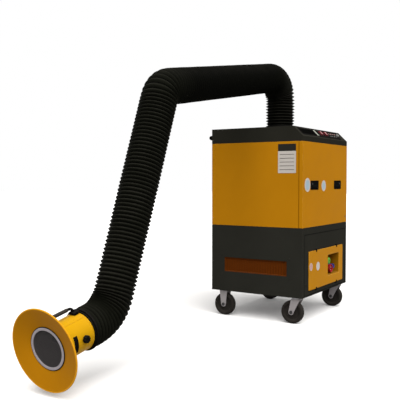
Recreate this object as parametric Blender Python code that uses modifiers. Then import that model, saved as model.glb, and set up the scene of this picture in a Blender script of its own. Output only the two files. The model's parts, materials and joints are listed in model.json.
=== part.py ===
"""Mobile welding fume extractor: a castor cabinet with filter and fan, and a hose arm with a hood.

Metres, +Z up. The filter door faces -Y and the arm reaches to -X. The floor is at z = 0.
"""
import math

import bmesh
import bpy
from mathutils import Matrix, Vector

# Fits and cuts
GAP = 0.0003
OVERRUN = 0.010

# Cabinet
CABINET_WIDTH = 0.650
CABINET_DEPTH = 0.560
SKIRT_DROP = 0.012
BASE_HEIGHT = 0.372
BODY_HEIGHT = 0.460
CAP_HEIGHT = 0.081
BASE_WALL = 0.003
BODY_WALL = 0.0025
CAP_WALL = 0.003
FLANGE_WIDTH = 0.015
FLOOR_PLATE_THICKNESS = 0.004
DECK_THICKNESS = 0.003

# Castors
WHEEL_RADIUS = 0.0625
WHEEL_WIDTH = 0.034
TREAD_CROWN = 0.004
HUB_RADIUS = 0.020
HUB_WIDTH = 0.040
RIM_RADIUS = 0.046
RIM_WIDTH = 0.026
AXLE_RADIUS = 0.005
BOLT_HEAD_RADIUS = 0.0085
BOLT_HEAD_HEIGHT = 0.006
FORK_SHEET = 0.003
FORK_HEADROOM = 0.006
FORK_FOOT_RADIUS = 0.015
FORK_TOP_LENGTH = 0.052
SWIVEL_HEAD_RADIUS = 0.028
SWIVEL_HEAD_HEIGHT = 0.018
CASTOR_PLATE_THICKNESS = 0.003
CASTOR_PLATE_LENGTH = 0.078
CASTOR_PLATE_WIDTH = 0.064
CASTOR_INSET = 0.040
SWIVEL_TRAIL = 0.026
FRONT_CASTOR_INSET = 0.047
REAR_CASTOR_INSET = 0.066

# Front cover and connection panel
COVER_SIDE_INSET = 0.026
COVER_TOP_INSET = 0.038
COVER_BOTTOM_INSET = 0.010
COVER_THICKNESS = 0.003
COVER_LEDGE = 0.012
COVER_OPENING_INSET = 0.026
PANEL_SIDE_INSET = 0.076
PANEL_HEIGHT = 0.210
PANEL_RISE = 0.1374
PANEL_DEPTH = 0.005
NOTCH_SPACING = 0.300
NOTCH_WIDTH = 0.012
NOTCH_HEIGHT = 0.007
POCKET_RIGHT_INSET = 0.059
POCKET_WIDTH = 0.172
POCKET_HEIGHT = 0.117
POCKET_RISE = 0.0035
POCKET_DEPTH = 0.060
POCKET_WALL = 0.002
COVER_SCREW_SIDE_INSET = 0.0207
COVER_SCREW_INSET = 0.057
COVER_SCREW_RADIUS = 0.006
COVER_SCREW_HEAD = 0.003
INLET_RADIUS = 0.022
INLET_BORE = 0.016
INLET_LENGTH = 0.052
INLET_FLANGE = 0.026
INLET_FLANGE_THICKNESS = 0.004
INLET_INSET = 0.090
INLET_RISE = 0.030
COUPLING_RADIUS = 0.012
COUPLING_COLLAR_RADIUS = 0.017
COUPLING_LENGTH = 0.055
COUPLING_COLLAR_LENGTH = 0.020
COUPLING_INSET = 0.024
COUPLING_DROP = 0.035

# Outlet grilles
GRILLE_LENGTH = 0.384
GRILLE_HEIGHT = 0.080
GRILLE_RISE = 0.1514
GRILLE_MID_Y = 0.004
GRILLE_LAP = 0.010
GRILLE_THICKNESS = 0.002
GRILLE_SLOTS = 24
SLOT_WIDTH_SHARE = 0.5

# Filter door and latches
DOOR_RETURN = 0.023
DOOR_WALL = 0.002
DOOR_MARGIN = 0.0005
LATCH_SPACING = 0.340
LATCH_RISE = 0.2264
LATCH_WIDTH = 0.110
LATCH_HEIGHT = 0.050
LATCH_LAP = 0.003
LATCH_FLANGE = 0.0012
LATCH_WALL = 0.002
LATCH_DEPTH = 0.018
PADDLE_HEIGHT = 0.036
PADDLE_THICKNESS = 0.003
PADDLE_SETBACK = 0.0005

# Filter and fan
DECK_HOLE_RADIUS = 0.075
SEAT_RADIUS = 0.110
SEAT_HEIGHT = 0.035
SEAT_WALL = 0.004
FILTER_RADIUS = 0.160
PLEAT_DEPTH = 0.024
PLEATS = 36
FILTER_HEIGHT = 0.380
FILTER_BORE = 0.080
FILTER_CAP_RADIUS = 0.163
FILTER_CAP_THICKNESS = 0.004
FILTER_CAP_PLUG = 0.020
TRAY_MARGIN = 0.020
TRAY_HEIGHT = 0.028
TRAY_WALL = 0.002
TRAY_NECK_WALL = 0.002
HOUSING_RADIUS = 0.200
HOUSING_HEIGHT = 0.140
HOUSING_WALL = 0.002
OUTLET_HEIGHT = 0.080
OUTLET_WIDTH = 0.160
MOTOR_RADIUS = 0.080
MOTOR_LENGTH = 0.150
SHAFT_RADIUS = 0.009
SHAFT_LENGTH = 0.050
IMPELLER_RADIUS = 0.150
IMPELLER_HEIGHT = 0.075
IMPELLER_EYE = 0.065
IMPELLER_PLATE = 0.003
IMPELLER_CLEARANCE = 0.020
IMPELLER_HUB_RADIUS = 0.018
BLADE_THICKNESS = 0.003
BLADE_SWEEP = math.radians(35)
BLADES = 8
CONTROL_BOX_WIDTH = 0.160
CONTROL_BOX_DEPTH = 0.110
CONTROL_BOX_HEIGHT = 0.180
CONTROL_BOX_X = -0.180
CONTROL_BOX_Y = -0.190

# Console on the cap's front slope
SLOPE_RUN = 0.055
SLOPE_FALL = 0.054
CONSOLE_SPACING = 0.010
CONSOLE_WIDTH = 0.355
CONSOLE_HEIGHT = 0.056
CONSOLE_PLATE = 0.002
DISPLAY_INSET = 0.020
DISPLAY_WIDTH = 0.190
DISPLAY_HEIGHT = 0.052
DISPLAY_THICKNESS = 0.002
BUTTON_WIDTH = 0.028
BUTTON_HEIGHT = 0.026
BUTTON_HEAD = 0.004
BUTTON_STEM_RADIUS = 0.005
BUTTON_STEM = 0.012
BUTTON_TRAVEL = 0.003
BUTTON_INSET = 0.080
BUTTON_SPACING = 0.070

# Push handle at the back of the cap
HANDLE_TUBE_RADIUS = 0.0125
HANDLE_SPAN = 0.530
HANDLE_STANDOFF = 0.050
HANDLE_BEND = 0.030
HANDLE_HEIGHT_SHARE = 0.47
HANDLE_FOOT_RADIUS = 0.022
HANDLE_FOOT_THICKNESS = 0.004

# Arm: the hose's centre line runs from the cap through three corners to the hood
POST_X = 0.0
POST_Y = 0.010
SHOULDER_RISE = 0.316
UPPER_LENGTH = 1.189
UPPER_DROP = math.radians(9.6)
LOWER_LENGTH = 0.998
LOWER_LEAN = math.radians(20.8)
HOOD_REACH = 0.350
HOOD_DIP = math.radians(11.0)
SHOULDER_BEND = 0.120
ELBOW_BEND = 0.090
HOOD_BEND = 0.160
BEND_LEAD = 0.030

# Hose
HOSE_SIDES = 8
SPIGOT_RADIUS = 0.0676
HOSE_WALL = 0.003
RIB_HEIGHT = 0.003
RIB_PITCH = 0.0168

# Turntable and swivel collar on the cap
TURNTABLE_RADIUS = 0.105
TURNTABLE_HEIGHT = 0.012
TURNTABLE_BORE = 0.069
TURNTABLE_LIP = 0.008
SWIVEL_FLANGE_RADIUS = 0.090
SWIVEL_FLANGE_HEIGHT = 0.005
SPIGOT_WALL = 0.003
SPIGOT_LENGTH = 0.050
TURNTABLE_WALL = 0.004

# Support arm in the hose
LINK_HEIGHT = 0.030
LINK_THICKNESS = 0.008
LINK_SIDES = 8
CROSSBAR_HEIGHT = 0.016
PIN_RADIUS = 0.005
PIN_HEAD_RADIUS = 0.009
PIN_HEAD_HEIGHT = 0.003

# Hood, along its axis from the mouth back to the hose
FLANGE_RADIUS = 0.1565
FLANGE_DEPTH = 0.022
FLANGE_EDGE = 0.003
COLLAR_RADIUS = 0.072
COLLAR_LENGTH = 0.187
HOOD_WALL = 0.002
THROAT_RADIUS = 0.083
THROAT_RING_RADIUS = 0.079
THROAT_RING_BORE = 0.067
THROAT_RING_THICKNESS = 0.003
MESH_THICKNESS = 0.0015
MESH_ACROSS = 7
MESH_WIRE = 0.004
CUFF_FLANGE = 0.003
CUFF_FLANGE_RADIUS = 0.077
CUFF_LIP = 0.020
DAMPER_PLACE = 0.135
DAMPER_FLAP_RADIUS = 0.0685
DAMPER_FLAP_THICKNESS = 0.0015
DAMPER_SHAFT_RADIUS = 0.004
DAMPER_KNOB_RADIUS = 0.014
DAMPER_KNOB_LENGTH = 0.016
HOOD_HANDLE_RADIUS = 0.005
HOOD_HANDLE_RISE = 0.028
HOOD_HANDLE_FRONT = 0.050
HOOD_HANDLE_BACK = 0.150
HOOD_HANDLE_FOOT = 0.166
HOOD_HANDLE_BEND = 0.010
HOOD_HANDLE_PAD_LENGTH = 0.030
HOOD_HANDLE_PAD_WIDTH = 0.020
HOOD_HANDLE_PAD_HEIGHT = 0.009

# Resolution
ROUND_STEPS = 24
HOOD_STEPS = 32
SMALL_STEPS = 16
MERGE = 0.0001
DOUBLES = 0.00001
CORNER_ANGLE = math.radians(50)

# Levels and faces that follow from the sizes above
LEFT = -CABINET_WIDTH / 2
RIGHT = CABINET_WIDTH / 2
FRONT = -CABINET_DEPTH / 2
BACK = CABINET_DEPTH / 2
FORK_TOP = 2 * WHEEL_RADIUS + FORK_HEADROOM + FORK_SHEET
CASTOR_PLATE_BOTTOM = FORK_TOP + GAP + SWIVEL_HEAD_HEIGHT
CASTOR_TOP = CASTOR_PLATE_BOTTOM + CASTOR_PLATE_THICKNESS
FLOOR_BOTTOM = CASTOR_TOP + GAP
FLOOR_TOP = FLOOR_BOTTOM + FLOOR_PLATE_THICKNESS
SKIRT_BOTTOM = FLOOR_BOTTOM - SKIRT_DROP
BASE_TOP = SKIRT_BOTTOM + BASE_HEIGHT
BODY_TOP = BASE_TOP + BODY_HEIGHT
CAP_TOP = BODY_TOP + CAP_HEIGHT
DOOR_BACK = FRONT + DOOR_RETURN
DECK_BOTTOM = BASE_TOP + GAP
DECK_TOP = DECK_BOTTOM + DECK_THICKNESS
WHEEL_X = RIGHT - CASTOR_INSET
FRONT_SWIVEL_Y = FRONT + FRONT_CASTOR_INSET
REAR_WHEEL_Y = BACK - REAR_CASTOR_INSET
PANEL_WIDTH = CABINET_WIDTH - 2 * PANEL_SIDE_INSET
PANEL_MID_HEIGHT = SKIRT_BOTTOM + PANEL_RISE
POCKET_RIGHT = PANEL_WIDTH / 2 - POCKET_RIGHT_INSET
POCKET_LEFT = POCKET_RIGHT - POCKET_WIDTH
POCKET_BOTTOM = PANEL_MID_HEIGHT + POCKET_RISE - POCKET_HEIGHT / 2
POCKET_TOP = POCKET_BOTTOM + POCKET_HEIGHT
INLET_X = POCKET_LEFT + INLET_INSET
INLET_HEIGHT = POCKET_BOTTOM + INLET_RISE
COUPLING_X = POCKET_LEFT + COUPLING_INSET
COUPLING_HEIGHT = POCKET_TOP - COUPLING_DROP
GRILLE_MID_HEIGHT = SKIRT_BOTTOM + GRILLE_RISE
LATCH_MID_HEIGHT = BASE_TOP + LATCH_RISE
DISPLAY_LEFT = LEFT + DISPLAY_INSET
DISPLAY_RIGHT = DISPLAY_LEFT + DISPLAY_WIDTH
CONSOLE_LEFT = DISPLAY_RIGHT + CONSOLE_SPACING
CONSOLE_RIGHT = CONSOLE_LEFT + CONSOLE_WIDTH
BUTTON_X = CONSOLE_LEFT + BUTTON_INSET
TURNTABLE_TOP = CAP_TOP + GAP + TURNTABLE_HEIGHT
SWIVEL_BOTTOM = TURNTABLE_TOP + GAP
SWIVEL_TOP = SWIVEL_BOTTOM + SWIVEL_FLANGE_HEIGHT
CUFF_START = COLLAR_LENGTH + GAP
CUFF_END = CUFF_START + CUFF_FLANGE
SPIGOT_BORE = SPIGOT_RADIUS - SPIGOT_WALL
HOSE_BORE = (SPIGOT_RADIUS + GAP) / math.cos(math.pi / HOSE_SIDES)
HOSE_ROOT = HOSE_BORE + HOSE_WALL
HOSE_CREST = HOSE_ROOT + RIB_HEIGHT


def arm_direction(angle_from_level, sign):
    """Unit vector in the arm's plane that points to -X, turned up or down by an angle."""
    return Vector((-math.cos(angle_from_level), 0, sign * math.sin(angle_from_level)))


SHOULDER = Vector((POST_X, POST_Y, CAP_TOP + SHOULDER_RISE))
UPPER_DIRECTION = arm_direction(UPPER_DROP, -1)
ELBOW = SHOULDER + UPPER_DIRECTION * UPPER_LENGTH
LOWER_DIRECTION = arm_direction(math.pi / 2 - LOWER_LEAN, -1)
WRIST = ELBOW + LOWER_DIRECTION * LOWER_LENGTH
HOOD_DIRECTION = arm_direction(HOOD_DIP, -1)
MOUTH = WRIST + HOOD_DIRECTION * HOOD_REACH
UP = Vector((0, 0, 1))
SIDE_VIEW = Matrix(((0, 0, 1), (1, 0, 0), (0, 1, 0))).to_4x4()


# Collections and general tools
def new_collection(name):
    collection = bpy.data.collections.new(name)
    bpy.context.scene.collection.children.link(collection)
    return collection


def material(name, colour, roughness, metallic=0.0):
    made = bpy.data.materials.get(name)
    if made is None:
        made = bpy.data.materials.new(name)
        made.use_nodes = True
        shader = made.node_tree.nodes["Principled BSDF"]
        shader.inputs["Base Color"].default_value = (*colour, 1.0)
        shader.inputs["Roughness"].default_value = roughness
        shader.inputs["Metallic"].default_value = metallic
        made.diffuse_color = (*colour, 1.0)
    return made


FINISHES = {
    "yellow_paint": ((0.45, 0.20, 0.005), 0.40, 0.0),
    "dark_paint": ((0.022, 0.021, 0.020), 0.50, 0.0),
    "orange_paint": ((0.13, 0.028, 0.003), 0.55, 0.0),
    "black_plastic": ((0.015, 0.015, 0.015), 0.45, 0.0),
    "hose_fabric": ((0.012, 0.012, 0.010), 0.70, 0.0),
    "rubber": ((0.020, 0.019, 0.018), 0.75, 0.0),
    "zinc": ((0.42, 0.41, 0.40), 0.38, 0.9),
    "steel": ((0.35, 0.35, 0.36), 0.45, 0.9),
    "aluminium": ((0.60, 0.60, 0.62), 0.35, 1.0),
    "filter_paper": ((0.70, 0.68, 0.60), 0.90, 0.0),
    "red_plastic": ((0.30, 0.008, 0.008), 0.40, 0.0),
    "green_plastic": ((0.06, 0.25, 0.03), 0.40, 0.0),
    "glass": ((0.010, 0.012, 0.015), 0.10, 0.0),
    "grey_plate": ((0.25, 0.24, 0.23), 0.45, 0.0),
}


def place(name, mesh, finish, matrix):
    """Make an object of the mesh, in the parts' collection, or with no finish in the cutters'."""
    body = bpy.data.objects.new(name, mesh)
    body.matrix_world = matrix
    if finish is None:
        cutters.objects.link(body)
        body.hide_render = True
        body.display_type = "WIRE"
        return body
    parts.objects.link(body)
    body.data.materials.append(material(finish, *FINISHES[finish]))
    return body


def mesh_of(bm, name):
    mesh = bpy.data.meshes.new(name)
    bm.to_mesh(mesh)
    bm.free()
    return mesh


def smooth(mesh):
    """Shade a mesh smooth, but for its corners."""
    mesh.shade_smooth()
    mesh.set_sharp_from_angle(angle=CORNER_ANGLE)
    return mesh


def box(name, low, high, finish=None, matrix=None, origin=None):
    """Closed box between two corners, given in the matrix's frame; its origin may lie elsewhere."""
    low = Vector(low)
    high = Vector(high)
    middle = (low + high) / 2 if origin is None else Vector(origin)
    bm = bmesh.new()
    bmesh.ops.create_cube(bm, size=1.0)
    size = Matrix.Diagonal((*(high - low), 1.0))
    shift = Matrix.Translation((low + high) / 2 - middle)
    bmesh.ops.transform(bm, matrix=shift @ size, verts=bm.verts)
    frame = Matrix.Identity(4) if matrix is None else matrix
    return place(name, mesh_of(bm, name), finish, frame @ Matrix.Translation(middle))


def frame_along(origin, direction, across=Vector((0, 1, 0))):
    """Frame whose Z runs along a direction and whose Y is square to it, near 'across'."""
    along = Vector(direction).normalized()
    side = Vector(across) - along * along.dot(Vector(across))
    side.normalize()
    third = side.cross(along)
    rows = Matrix((third, side, along)).transposed().to_4x4()
    return Matrix.Translation(Vector(origin)) @ rows


def rod(name, start, end, radius, finish=None, sides=SMALL_STEPS):
    """Cylinder between two points in world places."""
    start = Vector(start)
    end = Vector(end)
    across = UP if abs((end - start).normalized().z) < math.sqrt(1 / 2) else Vector((0, 1, 0))
    frame = frame_along(start, end - start, across)
    length = (end - start).length
    bm = bmesh.new()
    bmesh.ops.create_cone(bm, cap_ends=True, segments=sides, radius1=radius, radius2=radius, depth=length,
                          matrix=Matrix.Translation((0, 0, length / 2)))
    return place(name, smooth(mesh_of(bm, name)), finish, frame)


def turned(name, profile, finish, frame, steps=ROUND_STEPS):
    """Closed outline of (radius, height) points, down its outer side first, spun round Z.

    A stretch of the outline that lies on the axis is left out.
    """
    mesh = bpy.data.meshes.new(name)
    count = len(profile)
    edges = [(i, (i + 1) % count) for i in range(count)]
    off_axis = [(a, b) for a, b in edges if profile[a][0] > 0 or profile[b][0] > 0]
    mesh.from_pydata([(radius, 0, height) for radius, height in profile], off_axis, [])
    body = place(name, mesh, finish, frame)
    screw = body.modifiers.new("turn", "SCREW")
    screw.steps = steps
    screw.render_steps = steps
    screw.use_merge_vertices = True
    screw.merge_threshold = MERGE
    screw.use_smooth_shade = True
    return body


def cut(body, cutter, operation="DIFFERENCE"):
    boolean = body.modifiers.new(cutter.name, "BOOLEAN")
    boolean.operation = operation
    boolean.object = cutter
    boolean.solver = "EXACT"
    return body


def flat_outline(name, loops, thickness, finish, frame):
    """Flat plate: closed loops of points in the frame's XY plane, the inner ones being holes."""
    curve = bpy.data.curves.new(name, "CURVE")
    curve.dimensions = "2D"
    curve.fill_mode = "BOTH"
    curve.extrude = thickness / 2
    for loop in loops:
        spline = curve.splines.new("POLY")
        spline.points.add(len(loop) - 1)
        for point, (x, y) in zip(spline.points, loop):
            point.co = (x, y, 0, 1)
        spline.use_cyclic_u = True
    return place(name, curve, finish, frame)


def as_mesh(body):
    """Turn a curve object into a closed mesh object in the same place."""
    graph = bpy.context.evaluated_depsgraph_get()
    mesh = bpy.data.meshes.new_from_object(body.evaluated_get(graph))
    bm = bmesh.new()
    bm.from_mesh(mesh)
    bmesh.ops.remove_doubles(bm, verts=bm.verts, dist=DOUBLES)
    bmesh.ops.recalc_face_normals(bm, faces=bm.faces)
    bm.to_mesh(mesh)
    bm.free()
    smooth(mesh)
    name = body.name
    collection = body.users_collection[0]
    made = bpy.data.objects.new(name + "_mesh", mesh)
    made.matrix_world = body.matrix_world.copy()
    made.hide_render = body.hide_render
    made.display_type = body.display_type
    bpy.data.objects.remove(body)
    made.name = name
    collection.objects.link(made)
    return made


def round_points(radius, count, middle=(0.0, 0.0), start=0.0, sweep=None):
    """Points on an arc, or on a full circle where no sweep is given, its last point not repeated."""
    step = 2 * math.pi / count if sweep is None else sweep / (count - 1)
    turns = [start + step * i for i in range(count)]
    return [(middle[0] + radius * math.cos(a), middle[1] + radius * math.sin(a)) for a in turns]


def tube(name, points, radius, finish=None, radii=None, resolution=2):
    """Round tube with closed ends along world points, with a scale for the radius at each."""
    curve = bpy.data.curves.new(name, "CURVE")
    curve.dimensions = "3D"
    curve.bevel_depth = radius
    curve.bevel_resolution = resolution
    curve.use_fill_caps = True
    curve.twist_mode = "MINIMUM"
    spline = curve.splines.new("POLY")
    spline.points.add(len(points) - 1)
    for i, point in enumerate(points):
        spline.points[i].co = (*point, 1)
        spline.points[i].radius = 1.0 if radii is None else radii[i]
    return place(name, curve, finish, Matrix.Identity(4))


def fillet(corner, toward, away, radius, count):
    """Arc of points that rounds a corner between two directions that leave it."""
    a = Vector(toward).normalized()
    b = Vector(away).normalized()
    turn = math.pi - a.angle(b)
    centre = Vector(corner) + (a + b).normalized() * (radius / math.cos(turn / 2))
    first = Vector(corner) + a * (radius * math.tan(turn / 2)) - centre
    axis = first.cross(-a).normalized()
    return [centre + Matrix.Rotation(turn * i / (count - 1), 3, axis) @ first for i in range(count)]


# Base of the cabinet
def base_shell():
    shell = box("base_shell", (LEFT, FRONT, SKIRT_BOTTOM), (RIGHT, BACK, BASE_TOP), "dark_paint")
    front_wall = COVER_THICKNESS + GAP + BASE_WALL
    inside_low = (LEFT + BASE_WALL, FRONT + front_wall, SKIRT_BOTTOM - OVERRUN)
    inside_high = (RIGHT - BASE_WALL, BACK - BASE_WALL, BASE_TOP - BASE_WALL)
    cut(shell, box("cut_base_inside", inside_low, inside_high))
    mouth_low = (LEFT + FLANGE_WIDTH, FRONT + FLANGE_WIDTH, BASE_TOP - BASE_WALL - OVERRUN)
    mouth_high = (RIGHT - FLANGE_WIDTH, BACK - FLANGE_WIDTH, BASE_TOP + OVERRUN)
    cut(shell, box("cut_base_mouth", mouth_low, mouth_high))
    recess_low = (LEFT + COVER_SIDE_INSET, FRONT - OVERRUN, SKIRT_BOTTOM + COVER_BOTTOM_INSET)
    recess_high = (RIGHT - COVER_SIDE_INSET, FRONT + COVER_THICKNESS + GAP, BASE_TOP - COVER_TOP_INSET)
    cut(shell, box("cut_cover_recess", recess_low, recess_high))
    ledge = Vector((COVER_LEDGE, 0, COVER_LEDGE))
    through = Vector((0, front_wall + OVERRUN, 0))
    cut(shell, box("cut_cover_opening", Vector(recess_low) + ledge, Vector(recess_high) - ledge + through))
    for side, x in (("left", LEFT), ("right", RIGHT)):
        low = (x - OVERRUN, GRILLE_MID_Y - GRILLE_LENGTH / 2, GRILLE_MID_HEIGHT - GRILLE_HEIGHT / 2)
        high = (x + OVERRUN, GRILLE_MID_Y + GRILLE_LENGTH / 2, GRILLE_MID_HEIGHT + GRILLE_HEIGHT / 2)
        cut(shell, box("cut_grille_" + side, low, high))
    return shell


def floor_plate():
    margin = BASE_WALL + GAP
    front = FRONT + COVER_THICKNESS + GAP + margin
    low = (LEFT + margin, front, FLOOR_BOTTOM)
    box("floor_plate", low, (RIGHT - margin, BACK - margin, FLOOR_TOP), "steel")


def panel_corners(grow, y_low, y_high):
    """Corners of the connection panel's area, grown or shrunk all round."""
    half_width = PANEL_WIDTH / 2 + grow
    half_height = PANEL_HEIGHT / 2 + grow
    low = (-half_width, y_low, PANEL_MID_HEIGHT - half_height)
    high = (half_width, y_high, PANEL_MID_HEIGHT + half_height)
    return low, high


def front_cover():
    low = (LEFT + COVER_SIDE_INSET + GAP, FRONT, SKIRT_BOTTOM + COVER_BOTTOM_INSET + GAP)
    high = (RIGHT - COVER_SIDE_INSET - GAP, FRONT + COVER_THICKNESS, BASE_TOP - COVER_TOP_INSET - GAP)
    cover = box("front_cover", low, high, "dark_paint")
    opening = panel_corners(-COVER_OPENING_INSET, FRONT - OVERRUN, FRONT + OVERRUN)
    cut(cover, box("cut_panel_opening", *opening))
    for x in (low[0] + COVER_SCREW_SIDE_INSET, high[0] - COVER_SCREW_SIDE_INSET):
        for z in (low[2] + COVER_SCREW_INSET, high[2] - COVER_SCREW_INSET):
            head = (x, FRONT - COVER_SCREW_HEAD, z)
            root = (x, FRONT + COVER_THICKNESS / 2, z)
            cut(cover, rod("join_screw", head, root, COVER_SCREW_RADIUS), "UNION")


def control_panel():
    panel = box("control_panel", *panel_corners(0, FRONT - PANEL_DEPTH - GAP, FRONT - GAP), "yellow_paint")
    pocket_low = Vector((POCKET_LEFT, FRONT - PANEL_DEPTH, POCKET_BOTTOM))
    pocket_high = Vector((POCKET_RIGHT, FRONT + POCKET_DEPTH, POCKET_TOP))
    wall = Vector((POCKET_WALL, 0, POCKET_WALL))
    back = Vector((0, POCKET_WALL, 0))
    shell = box("join_pocket", pocket_low - wall + Vector((0, GAP, 0)), pocket_high + wall + back)
    cut(panel, shell, "UNION")
    cut(panel, box("cut_pocket", pocket_low - Vector((0, OVERRUN, 0)), pocket_high))
    for x in (-NOTCH_SPACING / 2, NOTCH_SPACING / 2):
        for sign in (-1, 1):
            edge = PANEL_MID_HEIGHT + sign * PANEL_HEIGHT / 2
            low = (x - NOTCH_WIDTH / 2, FRONT - PANEL_DEPTH - OVERRUN, edge - NOTCH_HEIGHT)
            high = (x + NOTCH_WIDTH / 2, FRONT - GAP + OVERRUN, edge + NOTCH_HEIGHT)
            cut(panel, box("cut_notch", low, high))
    return panel


def power_inlet():
    back = FRONT + POCKET_DEPTH - GAP
    frame = frame_along((INLET_X, back, INLET_HEIGHT), (0, -1, 0), UP)
    profile = [(INLET_RADIUS, INLET_LENGTH), (INLET_RADIUS, INLET_FLANGE_THICKNESS),
               (INLET_FLANGE, INLET_FLANGE_THICKNESS), (INLET_FLANGE, 0), (0, 0),
               (0, INLET_FLANGE_THICKNESS), (INLET_BORE, INLET_FLANGE_THICKNESS), (INLET_BORE, INLET_LENGTH)]
    turned("power_inlet", profile, "red_plastic", frame, SMALL_STEPS)


def air_coupling():
    back = FRONT + POCKET_DEPTH - GAP
    frame = frame_along((COUPLING_X, back, COUPLING_HEIGHT), (0, -1, 0), UP)
    collar_low = COUPLING_LENGTH - COUPLING_COLLAR_LENGTH
    profile = [(0, COUPLING_LENGTH), (COUPLING_COLLAR_RADIUS, COUPLING_LENGTH),
               (COUPLING_COLLAR_RADIUS, collar_low), (COUPLING_RADIUS, collar_low),
               (COUPLING_RADIUS, 0), (0, 0)]
    turned("air_coupling", profile, "green_plastic", frame, SMALL_STEPS)


def outlet_grille(side, sign):
    outer = sign * (RIGHT - BASE_WALL - GAP)
    inner = sign * (RIGHT - BASE_WALL - GAP - GRILLE_THICKNESS)
    half_length = GRILLE_LENGTH / 2 + GRILLE_LAP
    half_height = GRILLE_HEIGHT / 2 + GRILLE_LAP
    low = (min(outer, inner), GRILLE_MID_Y - half_length, GRILLE_MID_HEIGHT - half_height)
    high = (max(outer, inner), GRILLE_MID_Y + half_length, GRILLE_MID_HEIGHT + half_height)
    grille = box("outlet_grille_" + side, low, high, "orange_paint")
    pitch = GRILLE_LENGTH / GRILLE_SLOTS
    width = pitch * SLOT_WIDTH_SHARE
    slot_height = GRILLE_HEIGHT - 2 * GRILLE_LAP
    bm = bmesh.new()
    for i in range(GRILLE_SLOTS):
        y = GRILLE_MID_Y - GRILLE_LENGTH / 2 + pitch * (i + 1 / 2)
        middle = Matrix.Translation(((outer + inner) / 2, y, GRILLE_MID_HEIGHT))
        size = Matrix.Diagonal((OVERRUN, width, slot_height, 1.0))
        bmesh.ops.create_cube(bm, size=1.0, matrix=middle @ size)
    cut(grille, place("cut_slots_" + side, mesh_of(bm, "slots"), None, Matrix.Identity(4)))


# Castors
def wheel(name, x, y):
    half = WHEEL_WIDTH / 2
    rim = RIM_WIDTH / 2
    hub = HUB_WIDTH / 2
    shoulder = WHEEL_RADIUS - TREAD_CROWN
    outer = [(HUB_RADIUS, hub), (HUB_RADIUS, rim), (RIM_RADIUS, rim), (RIM_RADIUS, half),
             (shoulder, half), (WHEEL_RADIUS, half - TREAD_CROWN)]
    mirrored = [(radius, -height) for radius, height in reversed(outer)]
    bore = AXLE_RADIUS + GAP
    profile = outer + mirrored + [(bore, -hub), (bore, hub)]
    turned(name, profile, "rubber", frame_along((x, y, WHEEL_RADIUS), (1, 0, 0), UP))


def axle(name, x, y):
    half = HUB_WIDTH / 2 + GAP + FORK_SHEET + GAP
    end = half + BOLT_HEAD_HEIGHT
    profile = [(0, end), (BOLT_HEAD_RADIUS, end), (BOLT_HEAD_RADIUS, half), (AXLE_RADIUS, half),
               (AXLE_RADIUS, -half), (BOLT_HEAD_RADIUS, -half), (BOLT_HEAD_RADIUS, -end), (0, -end)]
    turned(name, profile, "zinc", frame_along((x, y, WHEEL_RADIUS), (1, 0, 0), UP), SMALL_STEPS)


def fork(name, x, top_y, wheel_y, top, plate_bottom=None):
    """Folded fork: an outline across the axle, extruded over its width and hollowed for the wheel."""
    half_width = HUB_WIDTH / 2 + GAP + FORK_SHEET
    foot = round_points(FORK_FOOT_RADIUS, SMALL_STEPS // 2, (wheel_y, WHEEL_RADIUS), math.pi, math.pi)
    outline = foot + [(top_y + FORK_TOP_LENGTH / 2, top), (top_y - FORK_TOP_LENGTH / 2, top)]
    frame = Matrix.Translation((x, 0, 0)) @ SIDE_VIEW
    body = as_mesh(flat_outline(name, [outline], 2 * half_width, "zinc", frame))
    inner = half_width - FORK_SHEET
    reach = FORK_TOP_LENGTH + SWIVEL_TRAIL
    low = (x - inner, wheel_y - reach, -OVERRUN)
    high = (x + inner, wheel_y + reach, top - FORK_SHEET)
    cut(body, box("cut_" + name, low, high))
    ends = half_width + OVERRUN
    hole = AXLE_RADIUS + GAP
    start = (x - ends, wheel_y, WHEEL_RADIUS)
    cut(body, rod("cut_axle_" + name, start, (x + ends, wheel_y, WHEEL_RADIUS), hole))
    if plate_bottom is not None:
        low = (x - CASTOR_PLATE_WIDTH / 2, top_y - CASTOR_PLATE_LENGTH / 2, plate_bottom)
        high = (x + CASTOR_PLATE_WIDTH / 2, top_y + CASTOR_PLATE_LENGTH / 2, top)
        cut(body, box("join_plate_" + name, low, high), "UNION")
    return body


def swivel_head(name, x, y):
    low = (x - CASTOR_PLATE_WIDTH / 2, y - CASTOR_PLATE_LENGTH / 2, CASTOR_PLATE_BOTTOM)
    high = (x + CASTOR_PLATE_WIDTH / 2, y + CASTOR_PLATE_LENGTH / 2, CASTOR_TOP)
    head = box(name, low, high, "zinc")
    bottom = (x, y, FORK_TOP + GAP)
    top = (x, y, CASTOR_TOP - CASTOR_PLATE_THICKNESS / 2)
    cut(head, rod("join_" + name, bottom, top, SWIVEL_HEAD_RADIUS), "UNION")


def castors():
    for side, x in (("left", -WHEEL_X), ("right", WHEEL_X)):
        wheel_y = FRONT_SWIVEL_Y + SWIVEL_TRAIL
        swivel_head("front_" + side + "_swivel_head", x, FRONT_SWIVEL_Y)
        fork("front_" + side + "_fork", x, FRONT_SWIVEL_Y, wheel_y, FORK_TOP)
        wheel("front_" + side + "_wheel", x, wheel_y)
        axle("front_" + side + "_axle", x, wheel_y)
        fork("rear_" + side + "_fork", x, REAR_WHEEL_Y, REAR_WHEEL_Y, CASTOR_TOP, CASTOR_PLATE_BOTTOM)
        wheel("rear_" + side + "_wheel", x, REAR_WHEEL_Y)
        axle("rear_" + side + "_axle", x, REAR_WHEEL_Y)


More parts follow.
